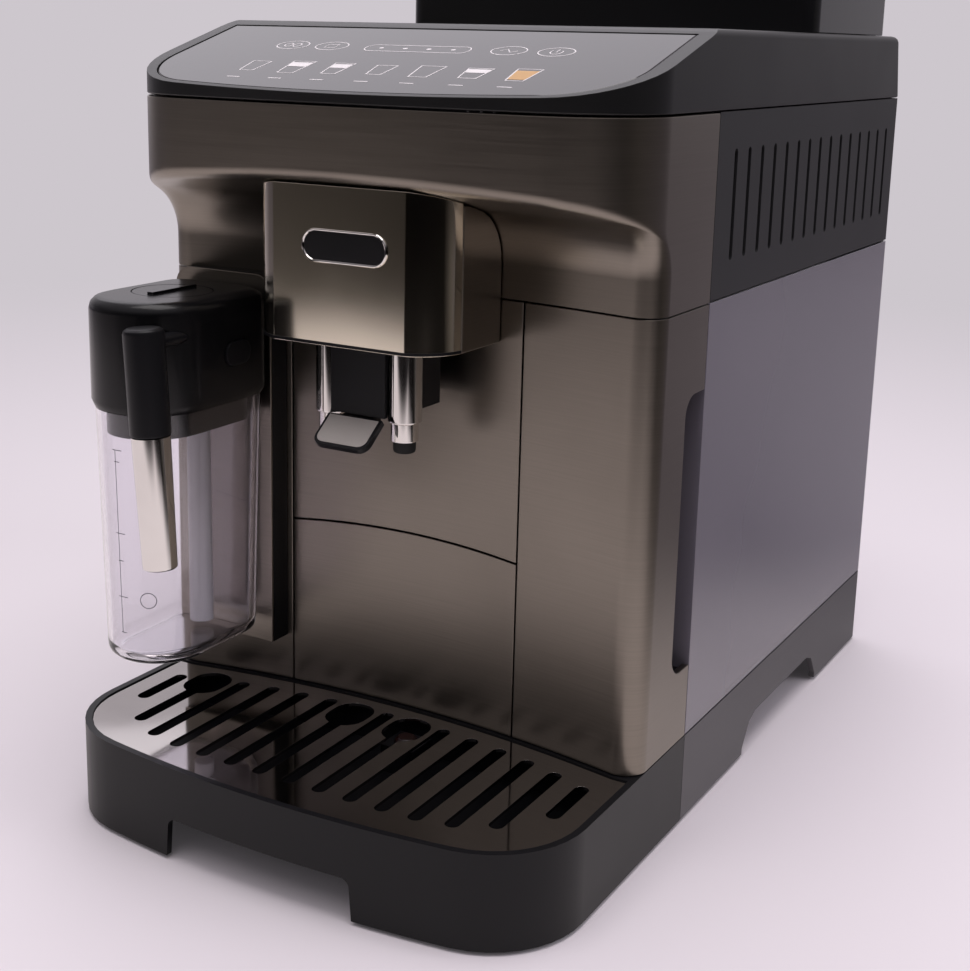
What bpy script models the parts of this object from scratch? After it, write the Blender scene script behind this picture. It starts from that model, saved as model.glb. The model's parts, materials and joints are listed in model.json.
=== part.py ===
# Countertop bean to cup coffee machine with a plug-in milk carafe.
# Metres, +Z up, front towards -Y, origin on the table under the middle of the machine.
import bpy
from math import asin, atan, cos, pi, radians, sin, sqrt
from mathutils import Matrix, Vector

# Whole machine
WIDTH = 0.240
HALF = WIDTH / 2
REAR = 0.205
WALL = 0.003
FIT = 0.0003
REVEAL = 0.0005
OVERRUN = 0.010
REAR_CORNER = 0.008
BACK_MARGIN = 0.020
BACK_HALF = HALF - BACK_MARGIN
TANK_DEPTH = 0.054
ARC_STEPS = 6
ROUND_STEPS = 28
FINE_STEPS = 20

# Concave wall at the back of the alcove, from which the machine's front is measured
ALCOVE_Y = -0.0994
ALCOVE_RADIUS = 0.518
SEAM_SETBACK = 0.0394
SEAM_Y = ALCOVE_Y + SEAM_SETBACK
COLUMN_CORNER = 0.010
COLUMN_FRONT = (ALCOVE_Y - ALCOVE_RADIUS - COLUMN_CORNER
                + sqrt((ALCOVE_RADIUS + COLUMN_CORNER) ** 2 - (HALF - COLUMN_CORNER) ** 2))
PANEL_MARGIN = 0.008
PANEL_HALF = HALF - TANK_DEPTH - PANEL_MARGIN
STATIONS = 36
COLUMN_STEPS = 14
COVE_STEPS = 9
LIP_STEPS = 4

# Heights of the seams that run round the machine, each stacked on the one below
SKIRT_Z = 0.0018
FOOT_HEIGHT = 0.0025
TRAY_TOP = 0.042
ALCOVE_TALL = 0.190
HOOD_TALL = 0.0765
SLOPE_RISE = 0.004
COVER_CLIMB = 0.0275
SPLIT_Z = TRAY_TOP + ALCOVE_TALL
HOOD_TOP = SPLIT_Z + HOOD_TALL
SLOPE_Z = HOOD_TOP + SLOPE_RISE
COVER_TOP = SLOPE_Z + COVER_CLIMB
CENTRE_TALL = 0.112
PANEL_SPLIT_Z = SPLIT_Z - CENTRE_TALL
PANEL_SPLIT_RISE = 0.003

# Hood with its lip over the alcove
HOOD_REACH = 0.0533
HOOD_FRONT = HOOD_REACH - ALCOVE_Y
HOOD_CORNER = 0.040
HOOD_BOW = 0.0045
LIP_BLEND = 0.0045
LIP_SHARE = 0.8
COVE_RISE = 0.014
COVE_Z = SPLIT_Z + COVE_RISE
COVE_RADIUS = 0.024
COVE_SLOPE = 0.27

# Finger recess in the right column, where the tank is gripped
GRIP_RISE = 0.033
GRIP_HEAD = 0.036
GRIP_WIDE = 0.019
GRIP_LOW = TRAY_TOP + GRIP_RISE
GRIP_HIGH = SPLIT_Z - GRIP_HEAD
GRIP_FRONT = SEAM_Y - GRIP_WIDE
GRIP_CORNER = 0.009
GRIP_DEPTH = 0.014

# Vent slots
VENT_COUNT = 15
BACK_VENT_COUNT = 5
VENT_FRONT_MARGIN = 0.0205
VENT_REAR_MARGIN = 0.024
VENT_RISE = 0.015
VENT_HEAD = 0.0155
VENT_WIDTH = 0.0036
VENT_FIRST_Y = SEAM_Y + VENT_FRONT_MARGIN
VENT_LAST_Y = REAR - VENT_REAR_MARGIN
VENT_LOW = SPLIT_Z + VENT_RISE
VENT_HIGH = HOOD_TOP - VENT_HEAD

# Black cover and glossy control panel
SLOPE_RUN = 0.0902
RIDGE_Y = SLOPE_RUN - HOOD_FRONT
COVER_ROUND = 0.003
COVER_BACK_DROP = 0.008
PANEL_INSET = 0.0075
PANEL_FRONT_INSET = 0.0032
PANEL_THICK = 0.0025
PANEL_RECESS = 0.003

# Bean hopper
HOPPER_MARGIN = 0.0085
HOPPER_LONG = 0.1205
HOPPER_RISE = 0.016
HOPPER_SINK = 0.0105
HOPPER_HALF = HALF - HOPPER_MARGIN
HOPPER_BACK = REAR - HOPPER_MARGIN
HOPPER_FRONT = HOPPER_BACK - HOPPER_LONG
HOPPER_LEDGE = COVER_TOP + HOPPER_RISE
HOPPER_FLOOR = HOOD_TOP - HOPPER_SINK
HOPPER_CORNER = 0.008
HOPPER_STEP = 0.008
LID_THICK = 0.004
HOPPER_WALL = 0.0025
LID_PLUG = 0.004
THROAT_RADIUS = 0.015
DIAL_RADIUS = 0.015
DIAL_HEIGHT = 0.016
CHUTE_WIDTH = 0.034
CHUTE_LENGTH = 0.030
CHUTE_RISE = 0.012
DOOR_THICK = 0.003

# Spout housing under the hood
HOUSING_HALF = 0.0465
HOUSING_ROUND = 0.0155
HOUSING_FLAT = HOUSING_HALF - HOUSING_ROUND
HOUSING_SETBACK = 0.0019
HOUSING_DEPTH = 0.0178
HOUSING_DROP = 0.0183
HOUSING_FRONT = HOUSING_SETBACK - HOOD_FRONT
HOUSING_BACK = HOUSING_FRONT + HOUSING_DEPTH
HOUSING_LOW = SPLIT_Z - HOUSING_DROP
HOUSING_WALL = 0.0025
BRACKET_WALL = 0.004

# Sliding coffee spout, its depths from the alcove wall and its heights from the housing's foot
CARRIAGE_HALF = 0.0225
CARRIAGE_GAP = 0.0094
CARRIAGE_BACK = ALCOVE_Y - CARRIAGE_GAP
PIPE_SETBACK = 0.0195
PIPE_X = 0.0178
PIPE_Y = CARRIAGE_BACK - PIPE_SETBACK
PIPE_RADIUS = 0.0071
PIPE_DROP = 0.0293
PIPE_LOW = HOUSING_LOW - PIPE_DROP
PIPE_LIP = 0.0030
SLAB_HALF = 0.0131
SLAB_REACH = 0.0082
SLAB_FRONT = PIPE_Y - SLAB_REACH
SLAB_DROP = 0.0302
SLAB_LOW = HOUSING_LOW - SLAB_DROP
COLLAR_TALL = 0.0108
COLLAR_LOW = PIPE_LOW - COLLAR_TALL
COLLAR_RADIUS = 0.0058
COLLAR_CHAMFER = 0.0006
TIP_TALL = 0.0049
TIP_LOW = COLLAR_LOW - TIP_TALL
TIP_RADIUS = 0.0047
STEM_DEPTH = 0.0125
STEM_TALL = 0.0423
STEM_HIGH = HOUSING_LOW + STEM_TALL
TAB_HALF = 0.0132
TAB_DROP = 0.0100
TAB_REACH = 0.0130
TAB_THICK = 0.0028
TAB_CORNER = 0.0046

# Base
BASE_FLOOR = 0.0205
ARCH_FRONT_MARGIN = 0.0765
ARCH_REAR_MARGIN = 0.078
ARCH_FRONT = SEAM_Y + ARCH_FRONT_MARGIN
ARCH_REAR = REAR - ARCH_REAR_MARGIN
ARCH_WEB = 0.0017
ARCH_TOP = BASE_FLOOR - ARCH_WEB
ARCH_FLARE = 0.016

# Drip tray, grille and grounds bin
TRAY_REACH = 0.1056
TRAY_FRONT = TRAY_REACH - ALCOVE_Y
TRAY_CORNER = 0.042
TRAY_BOW = 0.0054
TRAY_RIM = 0.0033
TRAY_LEDGE = 0.004
TRAY_FLOOR = BASE_FLOOR
NOTCH_CENTRE = -0.0027
NOTCH_HALF = 0.0452
NOTCH_FLARE = 0.002
NOTCH_ROUND = 0.004
NOTCH_WEB = 0.0013
NOTCH_TOP = TRAY_FLOOR - NOTCH_WEB
NOTCH_DEPTH = 0.0216
GRILLE_THICK = 0.0015
GRILLE_DROP = 0.0006
SLOT_COUNT = 15
SLOT_EDGE = 0.01275
SLOT_PITCH = 2 * (HALF - TRAY_RIM - SLOT_EDGE) / (SLOT_COUNT - 1)
SLOT_WIDTH = 0.0062
SLOT_FRONT_MARGIN = 0.018
SLOT_FRONT = TRAY_FRONT - SLOT_FRONT_MARGIN
SLOT_SWEEP = 0.031
SLOT_SETBACK = 0.0093
HEAD_STATIONS = (-6, -1, 1)
HEAD_HALF = 0.0092
HEAD_LENGTH = 0.024
HEAD_SETBACK = 0.0195
FLOAT_RADIUS = 0.005
FLOAT_GAP = 0.0041
BIN_LONG = 0.046
BIN_BACK = SEAM_Y + BIN_LONG
BIN_WALL = 0.002
BIN_DROP = 0.003
BIN_HIGH = PANEL_SPLIT_Z - BIN_DROP

# Rails and feet
RAIL_MARGIN = 0.038
RAIL_X = HALF - RAIL_MARGIN
RAIL_WIDTH = 0.024
RAIL_SETBACK = 0.040
RAIL_FRONT = RAIL_SETBACK - TRAY_FRONT
RAIL_THICK = 0.0035
FOOT_RADIUS = 0.010
FOOT_SETBACK = 0.057
FOOT_FRONT_Y = FOOT_SETBACK - TRAY_FRONT
FOOT_REAR_MARGIN = 0.029
FOOT_REAR_Y = REAR - FOOT_REAR_MARGIN
FOOT_SIDE_MARGIN = 0.024
FOOT_REAR_X = HALF - FOOT_SIDE_MARGIN
POST_RADIUS = 0.0125

# Water tank on the right
TANK_WALL = 0.0022
TANK_LID_THICK = 0.003
TANK_MOUTH = 0.034
VALVE_MARGIN = 0.045
VALVE_RISE = 0.016
VALVE_Y = REAR - VALVE_MARGIN
VALVE_Z = TRAY_TOP + VALVE_RISE
VALVE_RADIUS = 0.006
VALVE_LENGTH = 0.014
FRAME_WALL = 0.003
DECK_DROP = 0.007
DECK_Z = SPLIT_Z - DECK_DROP

# Dock on the left column
DOCK_MARGIN = 0.007
DOCK_GAP = 0.014
DOCK_LEFT = DOCK_MARGIN - HALF
DOCK_RIGHT = -HOUSING_HALF - DOCK_GAP
DOCK_RISE = 0.0218
DOCK_LOW = TRAY_TOP + DOCK_RISE
DOCK_HIGH = SPLIT_Z + REVEAL
DOCK_PROUD = 0.0025
DOCK_CORNER = 0.008
DOCK_PLATE = 0.0015
DOCK_FACE = COLUMN_FRONT - DOCK_PROUD - DOCK_PLATE

# Milk carafe, its depths from the dock
CARAFE_HALF = 0.0250
CARAFE_X = DOCK_RIGHT - CARAFE_HALF + REVEAL
CARAFE_GAP = 0.0025
CARAFE_LONG = 0.0697
CARAFE_BACK = DOCK_FACE - CARAFE_GAP
CARAFE_FRONT = CARAFE_BACK - CARAFE_LONG
CARAFE_RISE = 0.030
CARAFE_LOW = TRAY_TOP + CARAFE_RISE
CARAFE_TAPER = 0.0024
CARAFE_WALL = 0.002
CARAFE_CORNER = 0.0075
CARAFE_FOOT_ROUND = 0.005
CAP_DROP = 0.050
CAP_TALL = 0.046
CAP_LOW = SPLIT_Z - CAP_DROP
CAP_TOP = CAP_LOW + CAP_TALL
CAP_ROUND = 0.005
CAP_OVERHANG = 0.0012
COLLAR_DEPTH = 0.011
NOZZLE_RISE = 0.023
NOZZLE_Z = CAP_LOW + NOZZLE_RISE
NOZZLE_RADIUS = 0.006
NOZZLE_REACH = 0.012
ARM_MARGIN = 0.0032
ARM_REACH = 0.0053
ARM_X = CARAFE_X + CARAFE_HALF - ARM_MARGIN
ARM_Y = CARAFE_FRONT - ARM_REACH
ARM_RADIUS = 0.0083
ARM_DROP = 0.0045
ARM_LOW = CAP_LOW - ARM_DROP
ARM_HEAD = 0.0072
ARM_TOP = CAP_TOP - ARM_HEAD
ARM_LEAN = 3.4
PIVOT_DROP = 0.014
ARM_PIVOT_Z = CAP_TOP - PIVOT_DROP
ARM_SHAFT = 0.003
SHAFT_REACH = 0.030
MILK_LONG = 0.055
MILK_LOW = ARM_LOW - MILK_LONG
MILK_RADIUS = 0.0079
MILK_TAPER = 0.0008
FROTH_RADIUS = 0.017
FROTH_MARGIN = 0.0325
FROTH_Y = CARAFE_BACK - FROTH_MARGIN
FROTH_DEPTH = 0.006
FROTH_RIDGE = 0.0012
BUTTON_MARGIN = 0.0225
BUTTON_Y = CARAFE_BACK - BUTTON_MARGIN
BUTTON_RISE = 0.021
BUTTON_Z = CAP_LOW + BUTTON_RISE
BUTTON_LONG = 0.016
BUTTON_TALL = 0.010
BUTTON_DEPTH = 0.006
BUTTON_PROUD = 0.0010
INTAKE_RADIUS = 0.0045
INTAKE_MARGIN = 0.0175
INTAKE_Y = CARAFE_BACK - INTAKE_MARGIN

# Back of the machine
SWITCH_MARGIN = 0.050
SWITCH_X = SWITCH_MARGIN - HALF
SWITCH_RISE = 0.033
SWITCH_Z = TRAY_TOP + SWITCH_RISE
SWITCH_WIDE = 0.013
SWITCH_TALL = 0.021
SWITCH_DEPTH = 0.012
SWITCH_ROCK = 0.0014
SWITCH_TILT = 7
INLET_PITCH = 0.035
INLET_X = SWITCH_X + INLET_PITCH
INLET_WIDE = 0.027
INLET_TALL = 0.0205
INLET_DEPTH = 0.020
INLET_PIN = 0.0022

# Working parts inside
GRINDER_X = -0.010
GRINDER_SETBACK = 0.060
GRINDER_Y = HOPPER_FRONT + GRINDER_SETBACK
GRINDER_RADIUS = 0.035
GRINDER_TALL = 0.0305
GRINDER_HIGH = HOPPER_FLOOR - WALL / 2
GRINDER_LOW = GRINDER_HIGH - GRINDER_TALL
BURR_RADIUS = 0.024
FLUTE_COUNT = 8
MOTOR_RADIUS = 0.028
SHAFT_RADIUS = 0.004
BREW_WIDE = 0.0604
BREW_GAP = 0.008
BREW_FRONT = BIN_BACK + BREW_GAP
BREW_LENGTH = 0.096
BREW_TALL = 0.1555
BREW_HIGH = BASE_FLOOR + BREW_TALL
BREW_BORE = 0.021
PISTON_HEIGHT = 0.030
DRIVE_RADIUS = 0.019
DRIVE_LENGTH = 0.040
BOILER_WIDE = 0.080
BOILER_LONG = 0.046
BOILER_TALL = 0.062
BOILER_SIDE_MARGIN = 0.060
BOILER_X = BOILER_SIDE_MARGIN - HALF
BOILER_SETBACK = 0.075
BOILER_Y = SEAM_Y + BOILER_SETBACK
PUMP_SIDE_MARGIN = 0.036
PUMP_X = PUMP_SIDE_MARGIN - HALF
PUMP_REAR_MARGIN = 0.055
PUMP_Y = REAR - PUMP_REAR_MARGIN
PUMP_RADIUS = 0.019
PUMP_LENGTH = 0.076
BOARD_MARGIN = 0.010
BOARD_LEFT = BOARD_MARGIN - HALF
BOARD_WIDE = 0.096
BOARD_RISE = 0.015
BOARD_HEAD = 0.008
BOARD_THICK = 0.0016


def finish(name, colour, roughness, metallic=0.0, alpha=1.0):
    material = bpy.data.materials.get(name) or bpy.data.materials.new(name)
    material.use_nodes = True
    shader = material.node_tree.nodes["Principled BSDF"]
    shader.inputs["Base Color"].default_value = (*colour, 1.0)
    shader.inputs["Roughness"].default_value = roughness
    shader.inputs["Metallic"].default_value = metallic
    shader.inputs["Alpha"].default_value = alpha
    return material


def bronze(name):
    return finish(name, (0.095, 0.078, 0.062), 0.34, 1.0)


def black_plastic(name):
    return finish(name, (0.012, 0.012, 0.013), 0.45)


def grey_plastic(name):
    return finish(name, (0.035, 0.034, 0.037), 0.55)


def chrome(name):
    return finish(name, (0.72, 0.70, 0.66), 0.08, 1.0)


def dark_steel(name):
    return finish(name, (0.20, 0.20, 0.21), 0.35, 1.0)


def skin(name, rings, material, closed=False):
    """A closed body through rings of equal count; closed joins the last ring to the first."""
    count = len(rings[0])
    points = [point for ring in rings for point in ring]
    faces = []
    spans = len(rings) if closed else len(rings) - 1
    for i in range(spans):
        here = i * count
        there = (i + 1) % len(rings) * count
        for j in range(count):
            k = (j + 1) % count
            faces.append((here + j, here + k, there + k, there + j))
    if not closed:
        faces.append(tuple(reversed(range(count))))
        faces.append(tuple(range(len(points) - count, len(points))))
    return solid(name, points, faces, material)


def solid(name, points, faces, material):
    mesh = bpy.data.meshes.new(name)
    mesh.from_pydata([tuple(point) for point in points], [], faces)
    mesh.validate()
    volume = 0.0
    for polygon in mesh.polygons:
        corners = [mesh.vertices[i].co for i in polygon.vertices]
        for a, b in zip(corners[1:-1], corners[2:]):
            volume += corners[0].dot(a.cross(b))
    if volume < 0:
        mesh.flip_normals()
    mesh.materials.append(material)
    mesh.shade_smooth()
    mesh.set_sharp_from_angle(angle=radians(30))
    piece = bpy.data.objects.new(name, mesh)
    bpy.context.collection.objects.link(piece)
    return piece


def arc(centre, radius, start, end, steps=ARC_STEPS):
    turn = (end - start) / steps
    return [(centre[0] + radius * cos(start + turn * i), centre[1] + radius * sin(start + turn * i))
            for i in range(steps + 1)]


def rounded(low, high, radius, steps=ARC_STEPS):
    """A rectangle from corner low to corner high with round corners, anticlockwise."""
    points = arc((high[0] - radius, high[1] - radius), radius, 0, pi / 2, steps)
    points += arc((low[0] + radius, high[1] - radius), radius, pi / 2, pi, steps)
    points += arc((low[0] + radius, low[1] + radius), radius, pi, 3 * pi / 2, steps)
    points += arc((high[0] - radius, low[1] + radius), radius, 3 * pi / 2, 2 * pi, steps)
    return points


def rectangle(low, high):
    return [low, (high[0], low[1]), high, (low[0], high[1])]


def place(u, v, w, axis):
    return {"X": (w, u, v), "Y": (u, w, v), "Z": (u, v, w)}[axis]


def prism(name, outline, low, high, material, axis="Z"):
    rings = [[place(u, v, w, axis) for u, v in outline] for w in (low, high)]
    return skin(name, rings, material)


def block(name, low, high, material):
    return prism(name, rectangle(low[:2], high[:2]), low[2], high[2], material)


def turned(name, centre, profile, material, axis="Z", steps=ROUND_STEPS):
    """A solid of revolution; profile is (radius, place along the axis) from one end to the other."""
    rings = []
    for radius, along in profile:
        circle = [(centre[0] + radius * cos(2 * pi * i / steps), centre[1] + radius * sin(2 * pi * i / steps))
                  for i in range(steps)]
        rings.append([place(u, v, along, axis) for u, v in circle])
    return skin(name, rings, material)


def tool(piece):
    piece.hide_render = True
    piece.display_type = "WIRE"
    return piece


def combine(piece, other, operation):
    step = piece.modifiers.new(operation.lower() + "_" + other.name, "BOOLEAN")
    step.operation = operation
    step.object = tool(other)
    step.solver = "EXACT"


def cut(piece, *others):
    for other in others:
        combine(piece, other, "DIFFERENCE")
    return piece


def join(piece, *others):
    for other in others:
        combine(piece, other, "UNION")
    return piece


def ride(pieces, pivot, name, parent=None):
    """Hang pieces on an empty at pivot, so that they move with their joint."""
    holder = bpy.data.objects.new(name, None)
    holder.empty_display_size = WALL
    bpy.context.collection.objects.link(holder)
    base = Vector((0, 0, 0))
    if parent:
        holder.parent = parent
        base = Vector(parent["pivot"])
    holder["pivot"] = tuple(pivot)
    holder.location = Vector(pivot) - base
    for piece in pieces:
        piece.parent = holder
        piece.location = -Vector(pivot)
    return holder


# Front lines of the machine, each giving y at a station x

def bowed_y(x, half, front, corner, bow, inset=0.0):
    """Front line of a shell that bows forward between two round corners."""
    reach = half - corner
    radius = (reach ** 2 + bow ** 2) / (2 * bow)
    tilt = asin(reach / (radius - corner))
    middle_y = radius - front
    corner_y = middle_y - (radius - corner) * cos(tilt)
    along = abs(x)
    if along <= (radius - inset) * sin(tilt):
        return middle_y - sqrt((radius - inset) ** 2 - along ** 2)
    return corner_y - sqrt(max((corner - inset) ** 2 - (along - reach) ** 2, 0))


def alcove_y(x, forward=0.0, inset=0.0):
    """Concave alcove wall that turns round to the machine's sides."""
    radius = ALCOVE_RADIUS - forward
    middle_y = ALCOVE_Y - ALCOVE_RADIUS
    round_x = HALF - COLUMN_CORNER
    round_y = middle_y + sqrt((radius + COLUMN_CORNER) ** 2 - round_x ** 2)
    along = abs(x)
    if along <= round_x * (radius + inset) / (radius + COLUMN_CORNER):
        return middle_y + sqrt((radius + inset) ** 2 - along ** 2)
    return round_y - sqrt(max((COLUMN_CORNER - inset) ** 2 - (along - round_x) ** 2, 0))


def cove_turn():
    """Depth at which the cove's round turns into the straight underside."""
    return COVE_RADIUS * (1 - sin(atan(COVE_SLOPE)))


def cove_z(forward):
    """Height of the underside where it has come forward of the alcove wall."""
    depth = cove_turn()
    round_part = min(forward, depth)
    rise = sqrt(COVE_RADIUS ** 2 - (COVE_RADIUS - round_part) ** 2)
    return COVE_Z + rise + (forward - round_part) * COVE_SLOPE


def under_z(x, y):
    """Height of the hood's underside over a point in front of the alcove wall."""
    reach = sqrt((y - ALCOVE_Y + ALCOVE_RADIUS) ** 2 + x ** 2)
    return cove_z(max(ALCOVE_RADIUS - reach, 0))


def crease(x, inset):
    """How far forward the underside meets the hood's front line at station x."""
    low = 0.0
    high = ALCOVE_RADIUS / 4
    for _ in range(30):
        middle = (low + high) / 2
        if alcove_y(x, middle, inset) > hood_y(x, inset):
            low = middle
        else:
            high = middle
    return low


def lip_profile(x, inset):
    """Points (y, z) of the hood at station x, from its lower edge round the cove to the lip."""
    meet = crease(x, inset)
    blend = min(LIP_BLEND, meet * LIP_SHARE)
    points = [(alcove_y(x, 0, inset), SPLIT_Z)]
    for i in range(COVE_STEPS + 1):
        forward = (meet - blend) * (i / COVE_STEPS) ** 2
        points.append((alcove_y(x, forward, inset), cove_z(forward)))
    start = points[-1]
    tip = (hood_y(x, inset), cove_z(meet))
    for i in range(1, LIP_STEPS + 1):
        t = i / LIP_STEPS
        y = start[0] * (1 - t) ** 2 + tip[0] * (1 - (1 - t) ** 2)
        z = start[1] * (1 - t) ** 2 + tip[1] * 2 * t * (1 - t) + (tip[1] + blend) * t ** 2
        points.append((y, z))
    return points


def hood_y(x, inset=0.0):
    return bowed_y(x, HALF, HOOD_FRONT, HOOD_CORNER, HOOD_BOW, inset)


def tray_y(x, inset=0.0):
    return bowed_y(x, HALF, TRAY_FRONT, TRAY_CORNER, TRAY_BOW, inset)


def across(half, steps=STATIONS):
    """Stations from -half to half, closer together at the round corners."""
    return [half * sin(pi / 2 * (2 * i / steps - 1)) for i in range(steps + 1)]


# Base, feet and inner frame

def base_arch(name):
    outline = [(ARCH_FRONT, -OVERRUN), (ARCH_FRONT, SKIRT_Z + WALL),
               (ARCH_FRONT + ARCH_FLARE / 2, ARCH_TOP - WALL), (ARCH_FRONT + ARCH_FLARE, ARCH_TOP),
               (ARCH_REAR - ARCH_FLARE, ARCH_TOP), (ARCH_REAR - ARCH_FLARE / 2, ARCH_TOP - WALL),
               (ARCH_REAR, SKIRT_Z + WALL), (ARCH_REAR, -OVERRUN)]
    return prism(name, outline, -HALF - OVERRUN, HALF + OVERRUN, None, "X")


def rear_outline(front, inset=0.0):
    """Plan of the machine behind the seam, with round rear corners."""
    edge = HALF - inset
    back = REAR - inset
    corner = REAR_CORNER - inset
    points = [(-edge, front), (edge, front)]
    points += arc((edge - corner, back - corner), corner, 0, pi / 2)
    points += arc((corner - edge, back - corner), corner, pi / 2, pi)
    return points


def make_base():
    plastic = grey_plastic("base_plastic")
    base = prism("base_frame", rear_outline(SEAM_Y + REVEAL), SKIRT_Z, TRAY_TOP - FIT, plastic)
    floor_top = BASE_FLOOR + WALL
    inner = rear_outline(SEAM_Y + REVEAL + WALL, WALL)
    cut(base, prism("base_room", inner, floor_top, TRAY_TOP + OVERRUN, None))
    cut(base, prism("base_under", inner, -OVERRUN, BASE_FLOOR, None))
    door = PANEL_HALF + REVEAL
    cut(base, block("base_gate", (-door, SEAM_Y - OVERRUN, floor_top),
                    (door, SEAM_Y + 2 * WALL, TRAY_TOP + OVERRUN), None))
    cut(base, base_arch("base_arch"))
    post_low = FOOT_HEIGHT + FIT
    for side in (-1, 1):
        post = turned("foot_post", (side * FOOT_REAR_X, FOOT_REAR_Y),
                      [(POST_RADIUS, post_low), (POST_RADIUS, BASE_FLOOR + WALL / 2)], None)
        rail = block("front_rail", (side * RAIL_X - RAIL_WIDTH / 2, RAIL_FRONT, post_low),
                     (side * RAIL_X + RAIL_WIDTH / 2, SEAM_Y + 2 * WALL, post_low + RAIL_THICK), None)
        join(base, post, rail)
    return base


def make_feet():
    rubber = finish("foot_rubber", (0.015, 0.015, 0.016), 0.8)
    feet = []
    for end, x, y in (("front", RAIL_X, FOOT_FRONT_Y), ("rear", FOOT_REAR_X, FOOT_REAR_Y)):
        for side, sign in (("left", -1), ("right", 1)):
            profile = [(FOOT_RADIUS - WALL / 3, 0), (FOOT_RADIUS, WALL / 3), (FOOT_RADIUS, FOOT_HEIGHT)]
            feet.append(turned("foot_" + end + "_" + side, (sign * x, y), profile, rubber, steps=FINE_STEPS))
    return feet


def frame_bay_x():
    return HALF - TANK_DEPTH - FIT


def make_inner_frame():
    plastic = black_plastic("frame_plastic")
    bay = frame_bay_x()
    side = HALF - WALL - FIT
    front = SEAM_Y + REVEAL + WALL + FIT
    back = REAR - WALL - FIT
    floor_top = BASE_FLOOR + WALL + FIT
    frame = block("inner_frame", (bay - FRAME_WALL, front, floor_top), (bay, back, DECK_Z - WALL / 2), plastic)
    bulkhead = block("bulkhead", (-side, front, floor_top), (bay - WALL / 2, front + FRAME_WALL, HOPPER_FLOOR),
                     None)
    deck = block("deck", (-side, front + WALL / 2, DECK_Z - FRAME_WALL), (bay, REAR - REAR_CORNER, DECK_Z), None)
    join(frame, bulkhead, deck)
    gate = PANEL_HALF + REVEAL
    top = PANEL_SPLIT_Z + PANEL_SPLIT_RISE + REVEAL
    cut(frame, block("bin_gate", (-gate, front - OVERRUN, -OVERRUN), (gate, front + OVERRUN, top), None))
    port = [(VALVE_RADIUS, bay - OVERRUN), (VALVE_RADIUS, bay + OVERRUN)]
    return cut(frame, turned("valve_port", (VALVE_Y, VALVE_Z), port, None, "X", FINE_STEPS))


# Outer shells

def make_side(name, sign, low, material):
    edge = HALF
    inner = HALF - WALL
    corner = REAR_CORNER
    points = [(edge, SEAM_Y + REVEAL)] + arc((edge - corner, REAR - corner), corner, 0, pi / 2)
    points += [(BACK_HALF, REAR), (BACK_HALF, REAR - WALL)]
    points += arc((edge - corner, REAR - corner), corner - WALL, pi / 2, 0)
    points.append((inner, SEAM_Y + REVEAL))
    outline = [(sign * x, y) for x, y in points]
    panel = prism(name, outline, low, HOOD_TOP - REVEAL, material)
    pitch = (VENT_LAST_Y - VENT_FIRST_Y) / (VENT_COUNT - 1)
    for i in range(VENT_COUNT):
        y = VENT_FIRST_Y + pitch * i
        slot = rounded((y - VENT_WIDTH / 2, VENT_LOW), (y + VENT_WIDTH / 2, VENT_HIGH), VENT_WIDTH / 2, 3)
        cut(panel, prism(name + "_slot", slot, sign * (inner - OVERRUN), sign * (edge + OVERRUN), None, "X"))
    return panel


def make_back():
    plastic = grey_plastic("back_plastic")
    low = TRAY_TOP + FIT
    high = HOOD_TOP - REVEAL
    edge = BACK_HALF - REVEAL
    step_x = frame_bay_x()
    shelf = SPLIT_Z + REVEAL
    outline = [(-edge, low), (step_x, low), (step_x, shelf), (edge, shelf), (edge, high), (-edge, high)]
    cover = prism("back_cover", outline, REAR - WALL, REAR, plastic, "Y")
    half = SWITCH_WIDE / 2 + FIT
    tall = SWITCH_TALL / 2 + FIT
    hole = rectangle((SWITCH_X - half, SWITCH_Z - tall), (SWITCH_X + half, SWITCH_Z + tall))
    cut(cover, prism("switch_hole", hole, REAR - OVERRUN, REAR + OVERRUN, None, "Y"))
    half = INLET_WIDE / 2 + FIT
    tall = INLET_TALL / 2 + FIT
    hole = rounded((INLET_X - half, SWITCH_Z - tall), (INLET_X + half, SWITCH_Z + tall), WALL, 3)
    cut(cover, prism("inlet_hole", hole, REAR - OVERRUN, REAR + OVERRUN, None, "Y"))
    pitch = (VENT_HIGH - VENT_LOW) / (BACK_VENT_COUNT - 1)
    for i in range(BACK_VENT_COUNT):
        z = VENT_LOW + pitch * i
        slot = rounded((OVERRUN - edge, z - VENT_WIDTH / 2), (edge - OVERRUN, z + VENT_WIDTH / 2),
                       VENT_WIDTH / 2, 3)
        cut(cover, prism("back_slot", slot, REAR - OVERRUN, REAR + OVERRUN, None, "Y"))
    return cover


def hood_ring(outer, inner):
    """One closed line of the hood: outside from left to right, then back along the inside."""
    half = outer[-1][0]
    inner_half = inner[-1][0]
    ring = [(-half, SEAM_Y, outer[0][2])] + outer + [(half, SEAM_Y, outer[-1][2])]
    ring += [(inner_half, SEAM_Y, inner[-1][2])] + list(reversed(inner)) + [(-inner_half, SEAM_Y, inner[0][2])]
    return ring


def make_hood():
    outer_x = across(HALF)
    inner_x = across(HALF - WALL)
    outer = [lip_profile(x, 0) for x in outer_x]
    inner = [lip_profile(x, WALL) for x in inner_x]
    rings = []
    for i in range(len(outer[0])):
        lift = WALL if i else 0
        rings.append(hood_ring([(x, *line[i]) for x, line in zip(outer_x, outer)],
                               [(x, line[i][0], line[i][1] + lift) for x, line in zip(inner_x, inner)]))
    inner_top = [(x, hood_y(x, WALL)) for x in inner_x]
    for inset, z in ((0, HOOD_TOP - 2 * REVEAL), (REVEAL, HOOD_TOP - REVEAL)):
        rings.append(hood_ring([(x, hood_y(x, inset), z) for x in across(HALF - inset)],
                               [(x, y, z) for x, y in inner_top]))
    return skin("hood", rings, bronze("hood_bronze"))


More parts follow.
